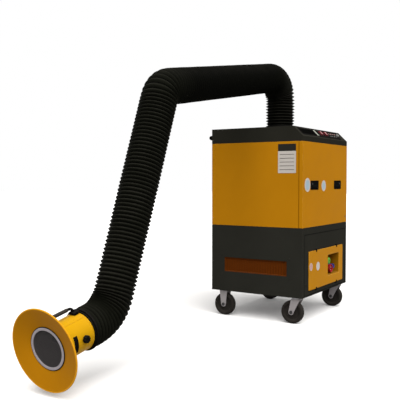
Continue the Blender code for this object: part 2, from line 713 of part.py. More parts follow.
# Upper body, door and latches
def body_shell():
    low = Vector((LEFT, DOOR_BACK + GAP, DECK_BOTTOM))
    high = Vector((RIGHT, BACK, BODY_TOP - GAP))
    shell = box("body_shell", low, high, "yellow_paint")
    wall = Vector((BODY_WALL, BODY_WALL, 0))
    over = Vector((0, 0, OVERRUN))
    cut(shell, box("cut_body_inside", low + wall - over, high - wall + over))
    inset = BODY_WALL + FLANGE_WIDTH
    opening_low = (LEFT + inset, DOOR_BACK - OVERRUN, DECK_BOTTOM - OVERRUN)
    cut(shell, box("cut_body_front", opening_low, (RIGHT - inset, DOOR_BACK + OVERRUN, BODY_TOP + OVERRUN)))


def latch_box(name, x, grow, y_low, y_high, finish=None):
    low = (x - LATCH_WIDTH / 2 - grow, y_low, LATCH_MID_HEIGHT - LATCH_HEIGHT / 2 - grow)
    high = (x + LATCH_WIDTH / 2 + grow, y_high, LATCH_MID_HEIGHT + LATCH_HEIGHT / 2 + grow)
    return box(name, low, high, finish)


def filter_door():
    low = Vector((LEFT, FRONT, DECK_BOTTOM + DOOR_MARGIN))
    high = Vector((RIGHT, DOOR_BACK, BODY_TOP - GAP - DOOR_MARGIN))
    door = box("filter_door", low, high, "yellow_paint")
    wall = Vector((DOOR_WALL, 0, DOOR_WALL))
    inside_low = low + wall + Vector((0, DOOR_WALL, 0))
    cut(door, box("cut_door_inside", inside_low, high - wall + Vector((0, OVERRUN, 0))))
    for side, x in (("left", -LATCH_SPACING / 2), ("right", LATCH_SPACING / 2)):
        cut(door, latch_box("cut_latch_hole_" + side, x, GAP - LATCH_LAP, FRONT - OVERRUN, FRONT + OVERRUN))


def latch(side, x):
    front = FRONT - GAP - LATCH_FLANGE
    tray = latch_box("latch_tray_" + side, x, 0, front, FRONT - GAP, "black_plastic")
    body = latch_box("join_tray_" + side, x, -LATCH_LAP, front + LATCH_FLANGE / 2, FRONT + LATCH_DEPTH)
    cut(tray, body, "UNION")
    hollow = -LATCH_LAP - LATCH_WALL
    bottom = FRONT + LATCH_DEPTH - LATCH_WALL
    cut(tray, latch_box("cut_tray_" + side, x, hollow, front - OVERRUN, bottom))
    half = LATCH_WIDTH / 2 + hollow - GAP
    top = LATCH_MID_HEIGHT + PADDLE_HEIGHT / 2
    y = front + PADDLE_SETBACK
    low = (x - half, y, LATCH_MID_HEIGHT - PADDLE_HEIGHT / 2)
    high = (x + half, y + PADDLE_THICKNESS, top)
    pivot = (x, y + PADDLE_THICKNESS / 2, top - PADDLE_THICKNESS / 2)
    box("latch_paddle_" + side, low, high, "black_plastic", origin=pivot)


# Filter chamber and fan
def deck_plate():
    margin = BODY_WALL + GAP
    low = (LEFT + margin, DOOR_BACK + GAP + margin, DECK_BOTTOM)
    deck = box("deck_plate", low, (RIGHT - margin, BACK - margin, DECK_TOP), "steel")
    top = (0, 0, DECK_TOP + SEAT_HEIGHT)
    start = (0, 0, DECK_BOTTOM + DECK_THICKNESS / 2)
    cut(deck, rod("join_seat", start, top, SEAT_RADIUS, None, ROUND_STEPS), "UNION")
    inner = SEAT_RADIUS - SEAT_WALL
    over = (0, 0, DECK_TOP + SEAT_HEIGHT + OVERRUN)
    cut(deck, rod("cut_seat", (0, 0, DECK_TOP), over, inner, None, ROUND_STEPS))
    cut(deck, rod("cut_deck_hole", (0, 0, DECK_BOTTOM - OVERRUN), over, DECK_HOLE_RADIUS, None, ROUND_STEPS))


def filter_cartridge():
    bottom = DECK_TOP + SEAT_HEIGHT + GAP
    outline = []
    for i in range(2 * PLEATS):
        radius = FILTER_RADIUS if i % 2 == 0 else FILTER_RADIUS - PLEAT_DEPTH
        angle = math.pi * i / PLEATS
        outline.append((radius * math.cos(angle), radius * math.sin(angle)))
    bore = round_points(FILTER_BORE, ROUND_STEPS)
    frame = Matrix.Translation((0, 0, bottom + FILTER_HEIGHT / 2))
    flat_outline("filter_cartridge", [outline, bore], FILTER_HEIGHT, "filter_paper", frame)


def filter_cap():
    bottom = DECK_TOP + SEAT_HEIGHT + GAP + FILTER_HEIGHT + GAP
    top = bottom + FILTER_CAP_THICKNESS
    plug = FILTER_BORE * math.cos(math.pi / ROUND_STEPS) - GAP
    profile = [(0, top), (FILTER_CAP_RADIUS, top), (FILTER_CAP_RADIUS, bottom), (plug, bottom),
               (plug, bottom - FILTER_CAP_PLUG), (0, bottom - FILTER_CAP_PLUG)]
    turned("filter_cap", profile, "zinc", Matrix.Identity(4))


def dust_tray():
    margin = BODY_WALL + FLANGE_WIDTH + TRAY_MARGIN
    low = Vector((LEFT + margin, DOOR_BACK + TRAY_MARGIN, DECK_TOP + GAP))
    high = Vector((RIGHT - margin, BACK - margin, DECK_TOP + GAP + TRAY_HEIGHT))
    tray = box("dust_tray", low, high, "zinc")
    wall = Vector((TRAY_WALL, TRAY_WALL, TRAY_WALL))
    inside = box("cut_tray_inside", low + wall, high - Vector((TRAY_WALL, TRAY_WALL, -OVERRUN)))
    neck = SEAT_RADIUS + GAP + TRAY_NECK_WALL
    bottom = (0, 0, DECK_TOP - OVERRUN)
    top = (0, 0, high.z + 2 * OVERRUN)
    cut(inside, rod("cut_tray_neck", bottom, top, neck, None, ROUND_STEPS))
    cut(tray, inside)
    cut(tray, rod("cut_tray_hole", bottom, top, SEAT_RADIUS + GAP, None, ROUND_STEPS))


def fan():
    top = DECK_BOTTOM - GAP
    bottom = top - HOUSING_HEIGHT
    inner = HOUSING_RADIUS - HOUSING_WALL
    floor = bottom + HOUSING_WALL
    hole = SHAFT_RADIUS + BLADE_THICKNESS
    profile = [(HOUSING_RADIUS, top), (HOUSING_RADIUS, bottom), (hole, bottom), (hole, floor),
               (inner, floor), (inner, top)]
    housing = turned("fan_housing", profile, "steel", Matrix.Identity(4))
    low = (-HOUSING_RADIUS - OVERRUN, -OUTLET_WIDTH / 2, floor + OVERRUN)
    high = (HOUSING_RADIUS + OVERRUN, OUTLET_WIDTH / 2, low[2] + OUTLET_HEIGHT)
    cut(housing, box("cut_outlets", low, high))
    motor_top = bottom - GAP
    shaft_top = motor_top + SHAFT_LENGTH
    motor_bottom = motor_top - MOTOR_LENGTH
    profile = [(0, shaft_top), (SHAFT_RADIUS, shaft_top), (SHAFT_RADIUS, motor_top),
               (MOTOR_RADIUS, motor_top), (MOTOR_RADIUS, motor_bottom), (0, motor_bottom)]
    turned("fan_motor", profile, "dark_paint", Matrix.Identity(4))
    impeller(floor + IMPELLER_CLEARANCE, shaft_top)


def impeller(bottom, shaft_end):
    bore = SHAFT_RADIUS + GAP
    top = bottom + IMPELLER_HEIGHT
    plate_top = bottom + IMPELLER_PLATE
    profile = [(IMPELLER_HUB_RADIUS, shaft_end), (IMPELLER_HUB_RADIUS, plate_top),
               (IMPELLER_RADIUS, plate_top), (IMPELLER_RADIUS, bottom), (bore, bottom), (bore, shaft_end)]
    wheel_body = turned("impeller", profile, "aluminium", Matrix.Identity(4))
    bm = bmesh.new()
    length = IMPELLER_RADIUS - IMPELLER_EYE
    height = IMPELLER_HEIGHT - IMPELLER_PLATE
    size = Matrix.Diagonal((length, BLADE_THICKNESS, height, 1.0))
    middle = (IMPELLER_RADIUS + IMPELLER_EYE) / 2
    for i in range(BLADES):
        spin = Matrix.Rotation(2 * math.pi * i / BLADES, 4, "Z")
        seat = Matrix.Translation((middle, 0, bottom + IMPELLER_PLATE / 2 + height / 2))
        lean = Matrix.Rotation(BLADE_SWEEP, 4, "Z")
        bmesh.ops.create_cube(bm, size=1.0, matrix=spin @ seat @ lean @ size)
    cut(wheel_body, place("join_blades", mesh_of(bm, "blades"), None, Matrix.Identity(4)), "UNION")
    ring = [(IMPELLER_RADIUS, top), (IMPELLER_RADIUS, top - IMPELLER_PLATE),
            (IMPELLER_EYE, top - IMPELLER_PLATE), (IMPELLER_EYE, top)]
    cut(wheel_body, turned("join_shroud", ring, None, Matrix.Identity(4)), "UNION")


def control_box():
    low = (CONTROL_BOX_X - CONTROL_BOX_WIDTH / 2, CONTROL_BOX_Y - CONTROL_BOX_DEPTH / 2, FLOOR_TOP + GAP)
    high = (CONTROL_BOX_X + CONTROL_BOX_WIDTH / 2, CONTROL_BOX_Y + CONTROL_BOX_DEPTH / 2,
            FLOOR_TOP + GAP + CONTROL_BOX_HEIGHT)
    box("control_box", low, high, "grey_plate")


# Top cap and console
def console_frame():
    """Frame on the slope: X to the right, Y up the slope, Z out of it."""
    middle = Vector((0, FRONT + SLOPE_RUN / 2, CAP_TOP - SLOPE_FALL / 2))
    out = Vector((0, -SLOPE_FALL, SLOPE_RUN)).normalized()
    up_slope = Vector((0, SLOPE_RUN, SLOPE_FALL)).normalized()
    rows = Matrix((Vector((1, 0, 0)), up_slope, out)).transposed().to_4x4()
    return Matrix.Translation(middle) @ rows


def cap_outline(inset, bottom):
    """Side outline of the cap in (y, z), drawn in from the outside by a wall."""
    slope = math.atan2(SLOPE_FALL, SLOPE_RUN)
    ridge_shift = inset * math.tan(slope / 2)
    lip_shift = inset * math.tan((math.pi / 2 - slope) / 2)
    top = CAP_TOP - inset
    return [(BACK - inset, bottom), (BACK - inset, top), (FRONT + SLOPE_RUN + ridge_shift, top),
            (FRONT + inset, CAP_TOP - SLOPE_FALL - lip_shift), (FRONT + inset, bottom)]


def top_cap():
    outside = [cap_outline(0, BODY_TOP)]
    cap = as_mesh(flat_outline("top_cap", outside, CABINET_WIDTH, "dark_paint", SIDE_VIEW))
    inside = flat_outline("cut_cap_inside", [cap_outline(CAP_WALL, BODY_TOP - OVERRUN)],
                          CABINET_WIDTH - 2 * CAP_WALL, None, SIDE_VIEW)
    cut(cap, as_mesh(inside))
    hole = TURNTABLE_BORE + TURNTABLE_WALL
    low = (POST_X, POST_Y, CAP_TOP - CAP_WALL - OVERRUN)
    cut(cap, rod("cut_cap_duct", low, (POST_X, POST_Y, CAP_TOP + OVERRUN), hole, None, ROUND_STEPS))
    frame = console_frame()
    for x in button_places():
        start = frame @ Vector((x, 0, -OVERRUN))
        end = frame @ Vector((x, 0, OVERRUN))
        cut(cap, rod("cut_cap_button", start, end, BUTTON_STEM_RADIUS + GAP))


def button_places():
    return [BUTTON_X, BUTTON_X + BUTTON_SPACING]


def console():
    frame = console_frame()
    level = GAP + CONSOLE_PLATE
    low = (CONSOLE_LEFT, -CONSOLE_HEIGHT / 2, GAP)
    plate = box("console_plate", low, (CONSOLE_RIGHT, CONSOLE_HEIGHT / 2, level), "grey_plate", frame)
    for side, x in zip(("start", "stop"), button_places()):
        start = frame @ Vector((x, 0, -OVERRUN))
        end = frame @ Vector((x, 0, OVERRUN))
        cut(plate, rod("cut_plate_" + side, start, end, BUTTON_STEM_RADIUS + GAP))
        head_low = level + BUTTON_TRAVEL + GAP
        low = (x - BUTTON_WIDTH / 2, -BUTTON_HEIGHT / 2, head_low)
        high = (x + BUTTON_WIDTH / 2, BUTTON_HEIGHT / 2, head_low + BUTTON_HEAD)
        button = box("button_" + side, low, high, "red_plastic", frame)
        bottom = frame @ Vector((x, 0, head_low - BUTTON_STEM))
        top = frame @ Vector((x, 0, head_low + BUTTON_HEAD / 2))
        cut(button, rod("join_stem_" + side, bottom, top, BUTTON_STEM_RADIUS), "UNION")
    low = (DISPLAY_LEFT, -DISPLAY_HEIGHT / 2, GAP)
    box("console_display", low, (DISPLAY_RIGHT, DISPLAY_HEIGHT / 2, GAP + DISPLAY_THICKNESS), "glass", frame)


def push_handle():
    height = BODY_TOP + CAP_HEIGHT * HANDLE_HEIGHT_SHARE
    seat = BACK + GAP
    bar_y = BACK + HANDLE_STANDOFF
    half = HANDLE_SPAN / 2
    left = Vector((-half, bar_y, height))
    right = Vector((half, bar_y, height))
    inward = Vector((0, -1, 0))
    points = [Vector((-half, seat, height))]
    points += fillet(left, inward, (1, 0, 0), HANDLE_BEND, SMALL_STEPS // 2)
    points += fillet(right, (-1, 0, 0), inward, HANDLE_BEND, SMALL_STEPS // 2)
    points.append(Vector((half, seat, height)))
    handle = as_mesh(tube("push_handle", points, HANDLE_TUBE_RADIUS, "black_plastic", resolution=3))
    for side, x in (("left", -half), ("right", half)):
        end = (x, seat + HANDLE_FOOT_THICKNESS, height)
        foot = rod("join_foot_" + side, (x, seat, height), end, HANDLE_FOOT_RADIUS)
        cut(handle, foot, "UNION")


# Hose arm
def ribbed_run(length):
    """Places along a run with the rib's scale there: root at both ends, a crest in each pitch."""
    ribs = max(1, round(length / RIB_PITCH))
    step = length / (2 * ribs)
    crest = HOSE_CREST / HOSE_ROOT
    return [(i * step, 1.0 if i % 2 == 0 else crest) for i in range(2 * ribs + 1)]


def point_on(path, distance):
    """Point at a distance along a list of points, run on in a straight line past its ends."""
    for a, b in zip(path[:-1], path[1:]):
        length = (b - a).length
        if distance <= length or b is path[-1]:
            return a + (b - a) * (distance / length)
        distance -= length
    return path[-1]


def path_length(path):
    return sum((b - a).length for a, b in zip(path[:-1], path[1:]))


def hose(name, path):
    """Ribbed hose along a path, with a plain bore cut out of it."""
    places = ribbed_run(path_length(path))
    points = [point_on(path, distance) for distance, _ in places]
    body = as_mesh(tube(name, points, HOSE_ROOT, "hose_fabric", radii=[scale for _, scale in places]))
    roots = points[0::2]
    straight = len(path) == 2
    bore = [roots[0], roots[-1]] if straight else roots
    start = bore[0] + (bore[0] - bore[1]).normalized() * OVERRUN
    end = bore[-1] + (bore[-1] - bore[-2]).normalized() * OVERRUN
    cut(body, as_mesh(tube("cut_" + name, [start] + bore[1:-1] + [end], HOSE_BORE)))
    return body


def bend_tangent(a, b, radius):
    """Distance from a corner to where its bend starts, for the directions into and out of it."""
    return radius * math.tan(a.angle(b) / 2)


def bend_path(corner, into, out, radius):
    """Path round a corner with a short straight lead at each end."""
    reach = bend_tangent(into, out, radius) + BEND_LEAD
    arc = fillet(corner, -into, out, radius, 2 * SMALL_STEPS)
    return [corner - into * reach] + arc + [corner + out * reach]


def hoses():
    shoulder_reach = bend_tangent(UP, UPPER_DIRECTION, SHOULDER_BEND) + BEND_LEAD
    elbow_reach = bend_tangent(UPPER_DIRECTION, LOWER_DIRECTION, ELBOW_BEND) + BEND_LEAD
    wrist_reach = bend_tangent(LOWER_DIRECTION, HOOD_DIRECTION, HOOD_BEND) + BEND_LEAD
    post_start = Vector((POST_X, POST_Y, SWIVEL_TOP + GAP))
    hose("post_hose", [post_start, SHOULDER - UP * (shoulder_reach + GAP)])
    hose("shoulder_hose", bend_path(SHOULDER, UP, UPPER_DIRECTION, SHOULDER_BEND))
    upper_start = SHOULDER + UPPER_DIRECTION * (shoulder_reach + GAP)
    hose("upper_hose", [upper_start, ELBOW - UPPER_DIRECTION * (elbow_reach + GAP)])
    hose("elbow_hose", bend_path(ELBOW, UPPER_DIRECTION, LOWER_DIRECTION, ELBOW_BEND))
    lower_start = ELBOW + LOWER_DIRECTION * (elbow_reach + GAP)
    hose("lower_hose", [lower_start, WRIST - LOWER_DIRECTION * (wrist_reach + GAP)])
    wrist_path = bend_path(WRIST, LOWER_DIRECTION, HOOD_DIRECTION, HOOD_BEND)
    wrist_path[-1] = MOUTH - HOOD_DIRECTION * (CUFF_END + GAP)
    hose("hood_bend_hose", wrist_path)


def pivot_of(corner, into, out, radius):
    """The pivot lies on the hose's centre line, at the middle of the bend."""
    first, middle, last = fillet(corner, -into, out, radius, 3)
    return middle


SHOULDER_PIVOT = pivot_of(SHOULDER, UP, UPPER_DIRECTION, SHOULDER_BEND)
ELBOW_PIVOT = pivot_of(ELBOW, UPPER_DIRECTION, LOWER_DIRECTION, ELBOW_BEND)
WRIST_PIVOT = pivot_of(WRIST, LOWER_DIRECTION, HOOD_DIRECTION, HOOD_BEND)


def link_bar(name, start, end, layer, finish, hole_places=()):
    """Flat bar with round ends between two places; the layer says on which side of the middle it lies."""
    start = Vector(start)
    end = Vector(end)
    length = (end - start).length
    along = (end - start).normalized()
    side = Vector((0, 1, 0))
    radius = LINK_HEIGHT / 2
    loop = round_points(radius, LINK_SIDES, (0, 0), math.pi / 2, math.pi)
    loop += round_points(radius, LINK_SIDES, (length, 0), -math.pi / 2, math.pi)
    loops = [loop]
    for hole in hole_places:
        loops.append(round_points(PIN_RADIUS + GAP, SMALL_STEPS, ((hole - start).length, 0)))
    rows = Matrix((along, side.cross(along), side)).transposed().to_4x4()
    middle = start + side * (layer * (LINK_THICKNESS + GAP) / 2)
    frame = Matrix.Translation(middle) @ rows
    return as_mesh(flat_outline(name, loops, LINK_THICKNESS, finish, frame))


def join_pin(link, pivot, layer):
    """Headed pin, one with its link, that goes through the neighbour's hole on the other side."""
    across = Vector((0, -layer, 0))
    start = pivot - across * LINK_THICKNESS / 2
    neck = pivot + across * (GAP / 2 + LINK_THICKNESS + GAP)
    end = neck + across * PIN_HEAD_HEIGHT
    pin = rod("join_pin_" + link.name, start, end, PIN_RADIUS)
    cut(pin, rod("join_pin_head_" + link.name, neck, end, PIN_HEAD_RADIUS), "UNION")
    cut(link, pin, "UNION")


def spigot_with_link(name, frame, flange_radius, flange_height, lip_radius, lip, pivot, layer):
    """Flanged spigot with a lip below, a bar across it and a link from the bar to a pivot's hole.

    The frame's Z runs from the flange into the hose.
    """
    top = flange_height + SPIGOT_LENGTH
    profile = [(SPIGOT_RADIUS, top), (SPIGOT_RADIUS, flange_height), (flange_radius, flange_height),
               (flange_radius, 0), (lip_radius, 0), (lip_radius, -lip),
               (SPIGOT_BORE, -lip), (SPIGOT_BORE, top)]
    body = turned(name, profile, "black_plastic", frame)
    half = SPIGOT_BORE + SPIGOT_WALL / 2
    low = (-CROSSBAR_HEIGHT / 2, -half, top - CROSSBAR_HEIGHT)
    cut(body, box("join_bar_" + name, low, (CROSSBAR_HEIGHT / 2, half, top), None, frame), "UNION")
    start = frame @ Vector((0, 0, top - CROSSBAR_HEIGHT / 2))
    cut(body, link_bar("join_link_" + name, start, pivot, layer, None), "UNION")
    reach = Vector((0, LINK_THICKNESS + OVERRUN, 0))
    cut(body, rod("cut_pin_" + name, pivot - reach, pivot + reach, PIN_RADIUS + GAP))


def turntable():
    frame = Matrix.Translation((POST_X, POST_Y, 0))
    low = CAP_TOP + GAP
    duct = BODY_TOP
    profile = [(TURNTABLE_RADIUS, TURNTABLE_TOP), (TURNTABLE_RADIUS, low),
               (TURNTABLE_BORE + TURNTABLE_WALL - GAP, low), (TURNTABLE_BORE + TURNTABLE_WALL - GAP, duct),
               (TURNTABLE_BORE, duct), (TURNTABLE_BORE, TURNTABLE_TOP)]
    turned("turntable_ring", profile, "dark_paint", frame)


def support_arm():
    post_frame = Matrix.Translation((POST_X, POST_Y, SWIVEL_BOTTOM))
    spigot_with_link("swivel_collar", post_frame, SWIVEL_FLANGE_RADIUS, SWIVEL_FLANGE_HEIGHT,
                     TURNTABLE_BORE - GAP, TURNTABLE_LIP, SHOULDER_PIVOT, -1)
    upper = link_bar("upper_link", SHOULDER_PIVOT, ELBOW_PIVOT, 1, "zinc")
    join_pin(upper, SHOULDER_PIVOT, 1)
    join_pin(upper, ELBOW_PIVOT, 1)
    lower = link_bar("lower_link", ELBOW_PIVOT, WRIST_PIVOT, -1, "zinc", [ELBOW_PIVOT])
    join_pin(lower, WRIST_PIVOT, -1)
    cuff_frame = frame_along(MOUTH - HOOD_DIRECTION * CUFF_START, -HOOD_DIRECTION)
    spigot_with_link("hood_cuff", cuff_frame, CUFF_FLANGE_RADIUS, CUFF_FLANGE,
                     COLLAR_RADIUS - HOOD_WALL - GAP, CUFF_LIP, WRIST_PIVOT, 1)


# Hood
def hood_frame(distance=0.0):
    """Frame at a distance behind the mouth: Z runs back along the axis, Y is the world's Y."""
    return frame_along(MOUTH - HOOD_DIRECTION * distance, -HOOD_DIRECTION)


def hood_shell():
    bore = COLLAR_RADIUS - HOOD_WALL
    back = FLANGE_DEPTH + HOOD_WALL
    profile = [(COLLAR_RADIUS, COLLAR_LENGTH), (COLLAR_RADIUS, back + FLANGE_EDGE), (THROAT_RADIUS, back),
               (FLANGE_RADIUS, FLANGE_EDGE), (FLANGE_RADIUS, 0), (FLANGE_RADIUS - HOOD_WALL, 0),
               (THROAT_RADIUS, FLANGE_DEPTH), (bore, FLANGE_DEPTH), (bore, COLLAR_LENGTH)]
    shell = turned("hood_shell", profile, "yellow_paint", hood_frame(), HOOD_STEPS)
    place_of = hood_frame(DAMPER_PLACE).translation
    reach = Vector((0, COLLAR_RADIUS + OVERRUN, 0))
    cut(shell, rod("cut_damper_holes", place_of - reach, place_of + reach, DAMPER_SHAFT_RADIUS + GAP))


def throat_ring():
    top = FLANGE_DEPTH - GAP
    low = top - THROAT_RING_THICKNESS
    profile = [(THROAT_RING_RADIUS, top), (THROAT_RING_RADIUS, low),
               (THROAT_RING_BORE, low), (THROAT_RING_BORE, top)]
    turned("throat_ring", profile, "aluminium", hood_frame(), HOOD_STEPS)


def hood_mesh():
    outer = COLLAR_RADIUS - HOOD_WALL - GAP
    low = FLANGE_DEPTH
    frame = hood_frame()
    profile = [(0, low + MESH_THICKNESS), (outer, low + MESH_THICKNESS), (outer, low), (0, low)]
    net = turned("hood_mesh", profile, "steel", frame)
    pitch = 2 * outer / MESH_ACROSS
    opening = pitch - MESH_WIRE
    bm = bmesh.new()
    for i in range(MESH_ACROSS):
        for j in range(MESH_ACROSS):
            x = (i - (MESH_ACROSS - 1) / 2) * pitch
            y = (j - (MESH_ACROSS - 1) / 2) * pitch
            if math.hypot(abs(x) + opening / 2, abs(y) + opening / 2) < outer - MESH_WIRE / 2:
                place_of = Matrix.Translation((x, y, low)) @ Matrix.Diagonal((opening, opening, OVERRUN, 1.0))
                bmesh.ops.create_cube(bm, size=1.0, matrix=place_of)
    cut(net, place("cut_mesh_gaps", mesh_of(bm, "mesh_gaps"), None, frame))


def damper():
    frame = hood_frame(DAMPER_PLACE)
    shaft = frame_along(frame.translation, (0, -1, 0), -HOOD_DIRECTION)
    knob_low = COLLAR_RADIUS + GAP
    knob_top = knob_low + DAMPER_KNOB_LENGTH
    end = -COLLAR_RADIUS - HOOD_WALL
    profile = [(0, knob_top), (DAMPER_KNOB_RADIUS, knob_top), (DAMPER_KNOB_RADIUS, knob_low),
               (DAMPER_SHAFT_RADIUS, knob_low), (DAMPER_SHAFT_RADIUS, end), (0, end)]
    body = turned("damper_flap", profile, "black_plastic", shaft, SMALL_STEPS)
    across = frame_along(frame.translation, frame.to_3x3() @ Vector((1, 0, 0)))
    start = across @ Vector((0, 0, -DAMPER_FLAP_THICKNESS / 2))
    end_of = across @ Vector((0, 0, DAMPER_FLAP_THICKNESS / 2))
    cut(body, rod("join_flap", start, end_of, DAMPER_FLAP_RADIUS, None, ROUND_STEPS), "UNION")


def hood_handle():
    frame = hood_frame()
    top_side = frame.to_3x3() @ Vector((1, 0, 0))
    if top_side.z < 0:
        top_side = -top_side
    base = COLLAR_RADIUS + GAP
    grip = base + HOOD_HANDLE_RISE

    def spot(distance, height):
        return MOUTH - HOOD_DIRECTION * distance + top_side * height

    corners = [spot(HOOD_HANDLE_FRONT, base), spot(HOOD_HANDLE_FRONT, grip),
               spot(HOOD_HANDLE_BACK, grip), spot(HOOD_HANDLE_FOOT, base + HOOD_HANDLE_RADIUS)]
    points = [corners[0]]
    for before, corner, after in zip(corners, corners[1:], corners[2:]):
        points += fillet(corner, before - corner, after - corner, HOOD_HANDLE_BEND, SMALL_STEPS // 3)
    handle = as_mesh(tube("hood_handle", points + [corners[-1]], HOOD_HANDLE_RADIUS, "black_plastic"))
    pad_frame = frame_along(spot(HOOD_HANDLE_FOOT, base), top_side)
    half = Vector((HOOD_HANDLE_PAD_LENGTH, HOOD_HANDLE_PAD_WIDTH, 0)) / 2
    pad = box("join_pad", -half, half + Vector((0, 0, HOOD_HANDLE_PAD_HEIGHT)), None, pad_frame)
    cut(handle, pad, "UNION")


def build():
    base_shell()
    floor_plate()
    front_cover()
    control_panel()
    power_inlet()
    air_coupling()
    outlet_grille("left", -1)
    outlet_grille("right", 1)
    castors()
    body_shell()
    filter_door()
    latch("left", -LATCH_SPACING / 2)
    latch("right", LATCH_SPACING / 2)
    deck_plate()
    filter_cartridge()
    filter_cap()
    dust_tray()
    fan()
    control_box()
    top_cap()
    console()
    push_handle()
    turntable()
    support_arm()
    hoses()
    hood_shell()
    throat_ring()
    hood_mesh()
    damper()
    hood_handle()


for old in list(bpy.data.objects):
    bpy.data.objects.remove(old)
parts = new_collection("fume_extractor")
cutters = new_collection("cutters")
build()
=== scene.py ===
import json
import math
import bmesh
import bpy
import numpy as np
from mathutils import Matrix

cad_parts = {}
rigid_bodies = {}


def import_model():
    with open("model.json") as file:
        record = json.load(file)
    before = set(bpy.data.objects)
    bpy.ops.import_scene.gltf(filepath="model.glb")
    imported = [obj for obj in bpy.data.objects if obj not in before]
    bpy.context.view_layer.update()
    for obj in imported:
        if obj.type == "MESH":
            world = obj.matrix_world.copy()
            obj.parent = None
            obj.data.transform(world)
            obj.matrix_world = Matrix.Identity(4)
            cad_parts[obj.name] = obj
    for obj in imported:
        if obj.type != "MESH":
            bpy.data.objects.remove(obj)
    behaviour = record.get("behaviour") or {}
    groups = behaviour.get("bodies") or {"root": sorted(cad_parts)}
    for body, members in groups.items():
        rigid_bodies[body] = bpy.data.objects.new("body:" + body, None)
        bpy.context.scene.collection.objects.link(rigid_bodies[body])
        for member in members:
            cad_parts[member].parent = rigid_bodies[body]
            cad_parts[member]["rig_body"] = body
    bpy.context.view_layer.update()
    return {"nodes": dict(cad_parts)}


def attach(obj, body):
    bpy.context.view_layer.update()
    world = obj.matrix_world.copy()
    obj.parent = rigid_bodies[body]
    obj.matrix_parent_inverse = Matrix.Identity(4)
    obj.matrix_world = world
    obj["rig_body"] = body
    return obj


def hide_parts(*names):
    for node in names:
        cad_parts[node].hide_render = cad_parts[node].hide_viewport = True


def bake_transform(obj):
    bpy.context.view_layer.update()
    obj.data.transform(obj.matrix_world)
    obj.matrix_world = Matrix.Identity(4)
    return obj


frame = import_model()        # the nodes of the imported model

nodes = frame["nodes"]
print("frame loaded:", len(nodes), "nodes")


# shapes as arrays of points; a grid is (rows, columns, 3)

def unit(v):
    # v over its length
    v = np.asarray(v, float)
    return v / np.linalg.norm(v)


def at(origin, x, y):
    # a local point (a, b, c) goes to origin + a x + b y + c (x cross y)
    x, y = unit(x), unit(y)
    turn = np.stack([x, y, np.cross(x, y)])
    start = np.asarray(origin, float)
    return lambda local: start + local @ turn


def wrapped(origin, axis, outward, radius):
    # a local point goes round a cylinder, with t = a / radius:
    # origin + b axis + (radius + c)(cos t outward + sin t side)
    start, axis, outward = np.asarray(origin, float), unit(axis), unit(outward)
    side = np.cross(axis, outward)

    def place(local):
        t = local[..., :1] / radius
        around = np.cos(t) * outward + np.sin(t) * side
        return start + local[..., 1:2] * axis + (radius + local[..., 2:]) * around
    return place


def moved(place, x, y, level=0.0):
    # the same place function, shifted in its own local directions
    return lambda local: place(local + np.array([x, y, level]))


def roundCorners(points, radius, steps=4, closed=False):
    # each corner becomes (1-t)^2 a + 2t(1-t) corner + t^2 b, with a and b a radius away on its two edges,
    # or a little under half of the shorter edge
    p = np.asarray(points, float)
    if closed:
        p = np.concatenate([p[-1:], p, p[:1]])
    corner = p[1:-1]
    edges = [p[:-2] - corner, p[2:] - corner]
    lengths = [np.linalg.norm(edge, axis=1, keepdims=True) for edge in edges]
    reach = np.minimum(radius, 0.48 * np.minimum(*lengths))
    a, b = [(corner + edge / length * reach)[:, None] for edge, length in zip(edges, lengths)]
    t = np.linspace(0, 1, steps)[None, :, None]
    arcs = ((1 - t) ** 2 * a + 2 * t * (1 - t) * corner[:, None] + t * t * b).reshape(-1, p.shape[1])
    return np.concatenate([arcs, arcs[:1]]) if closed else np.concatenate([p[:1], arcs, p[-1:]])


def resampled(path, spacing):
    # the same polyline with points an even arc length apart
    p = np.asarray(path, float)
    along = np.concatenate([[0], np.cumsum(np.linalg.norm(np.diff(p, axis=0), axis=1))])
    places = np.linspace(0, along[-1], max(2, int(round(along[-1] / spacing)) + 1))
    return np.stack([np.interp(places, along, p[:, k]) for k in range(p.shape[1])], axis=1)


def turned(profile, place, steps=48, lobes=0, depth=0.0):
    # (radius, height) points spun round the local axis: (r cos a, r sin a, h), with r swelling by
    # depth cos(lobes a)
    p = np.asarray(profile, float)
    a = np.linspace(0, 2 * np.pi, steps + 1)
    r = p[:, :1] * (1 + depth * np.cos(lobes * a))
    return place(np.stack([r * np.cos(a), r * np.sin(a), np.repeat(p[:, 1:], steps + 1, axis=1)], axis=-1))


def spun(section, soft, place, steps=48, *swell):
    # a closed section with rounded corners, spun round the local axis
    return turned(roundCorners(section, soft, closed=True), place, steps, *swell)


def ring(inner, outer, low, high, soft, place, steps=96, *swell):
    # a rounded rectangle between two radii and two levels, spun round the local axis
    return spun([(inner, low), (outer, low), (outer, high), (inner, high)], soft, place, steps, *swell)


def around(count, radius, start):
    # places on a circle, an even turn apart
    turns = np.arange(count) * 2 * np.pi / count + start
    return [(radius * math.cos(a), radius * math.sin(a)) for a in turns]


def loft(rows, place, arc=5):
    # rounded rectangles row by row: middle + sign (half - corner) + corner (cos a, sin a), at each level
    halfX, halfY, corner, level, midX, midY = np.array(rows, float).T[:, :, None]
    a = np.append((np.linspace(0, np.pi / 2, arc)[None] + np.arange(4)[:, None] * np.pi / 2).ravel(), 0.0)
    signX = np.append(np.repeat([1, -1, -1, 1], arc), 1)
    signY = np.append(np.repeat([1, 1, -1, -1], arc), 1)
    x = midX + signX * (halfX - corner) + corner * np.cos(a)
    y = midY + signY * (halfY - corner) + corner * np.sin(a)
    return place(np.stack([x, y, np.repeat(level, len(a), axis=1)], axis=-1))


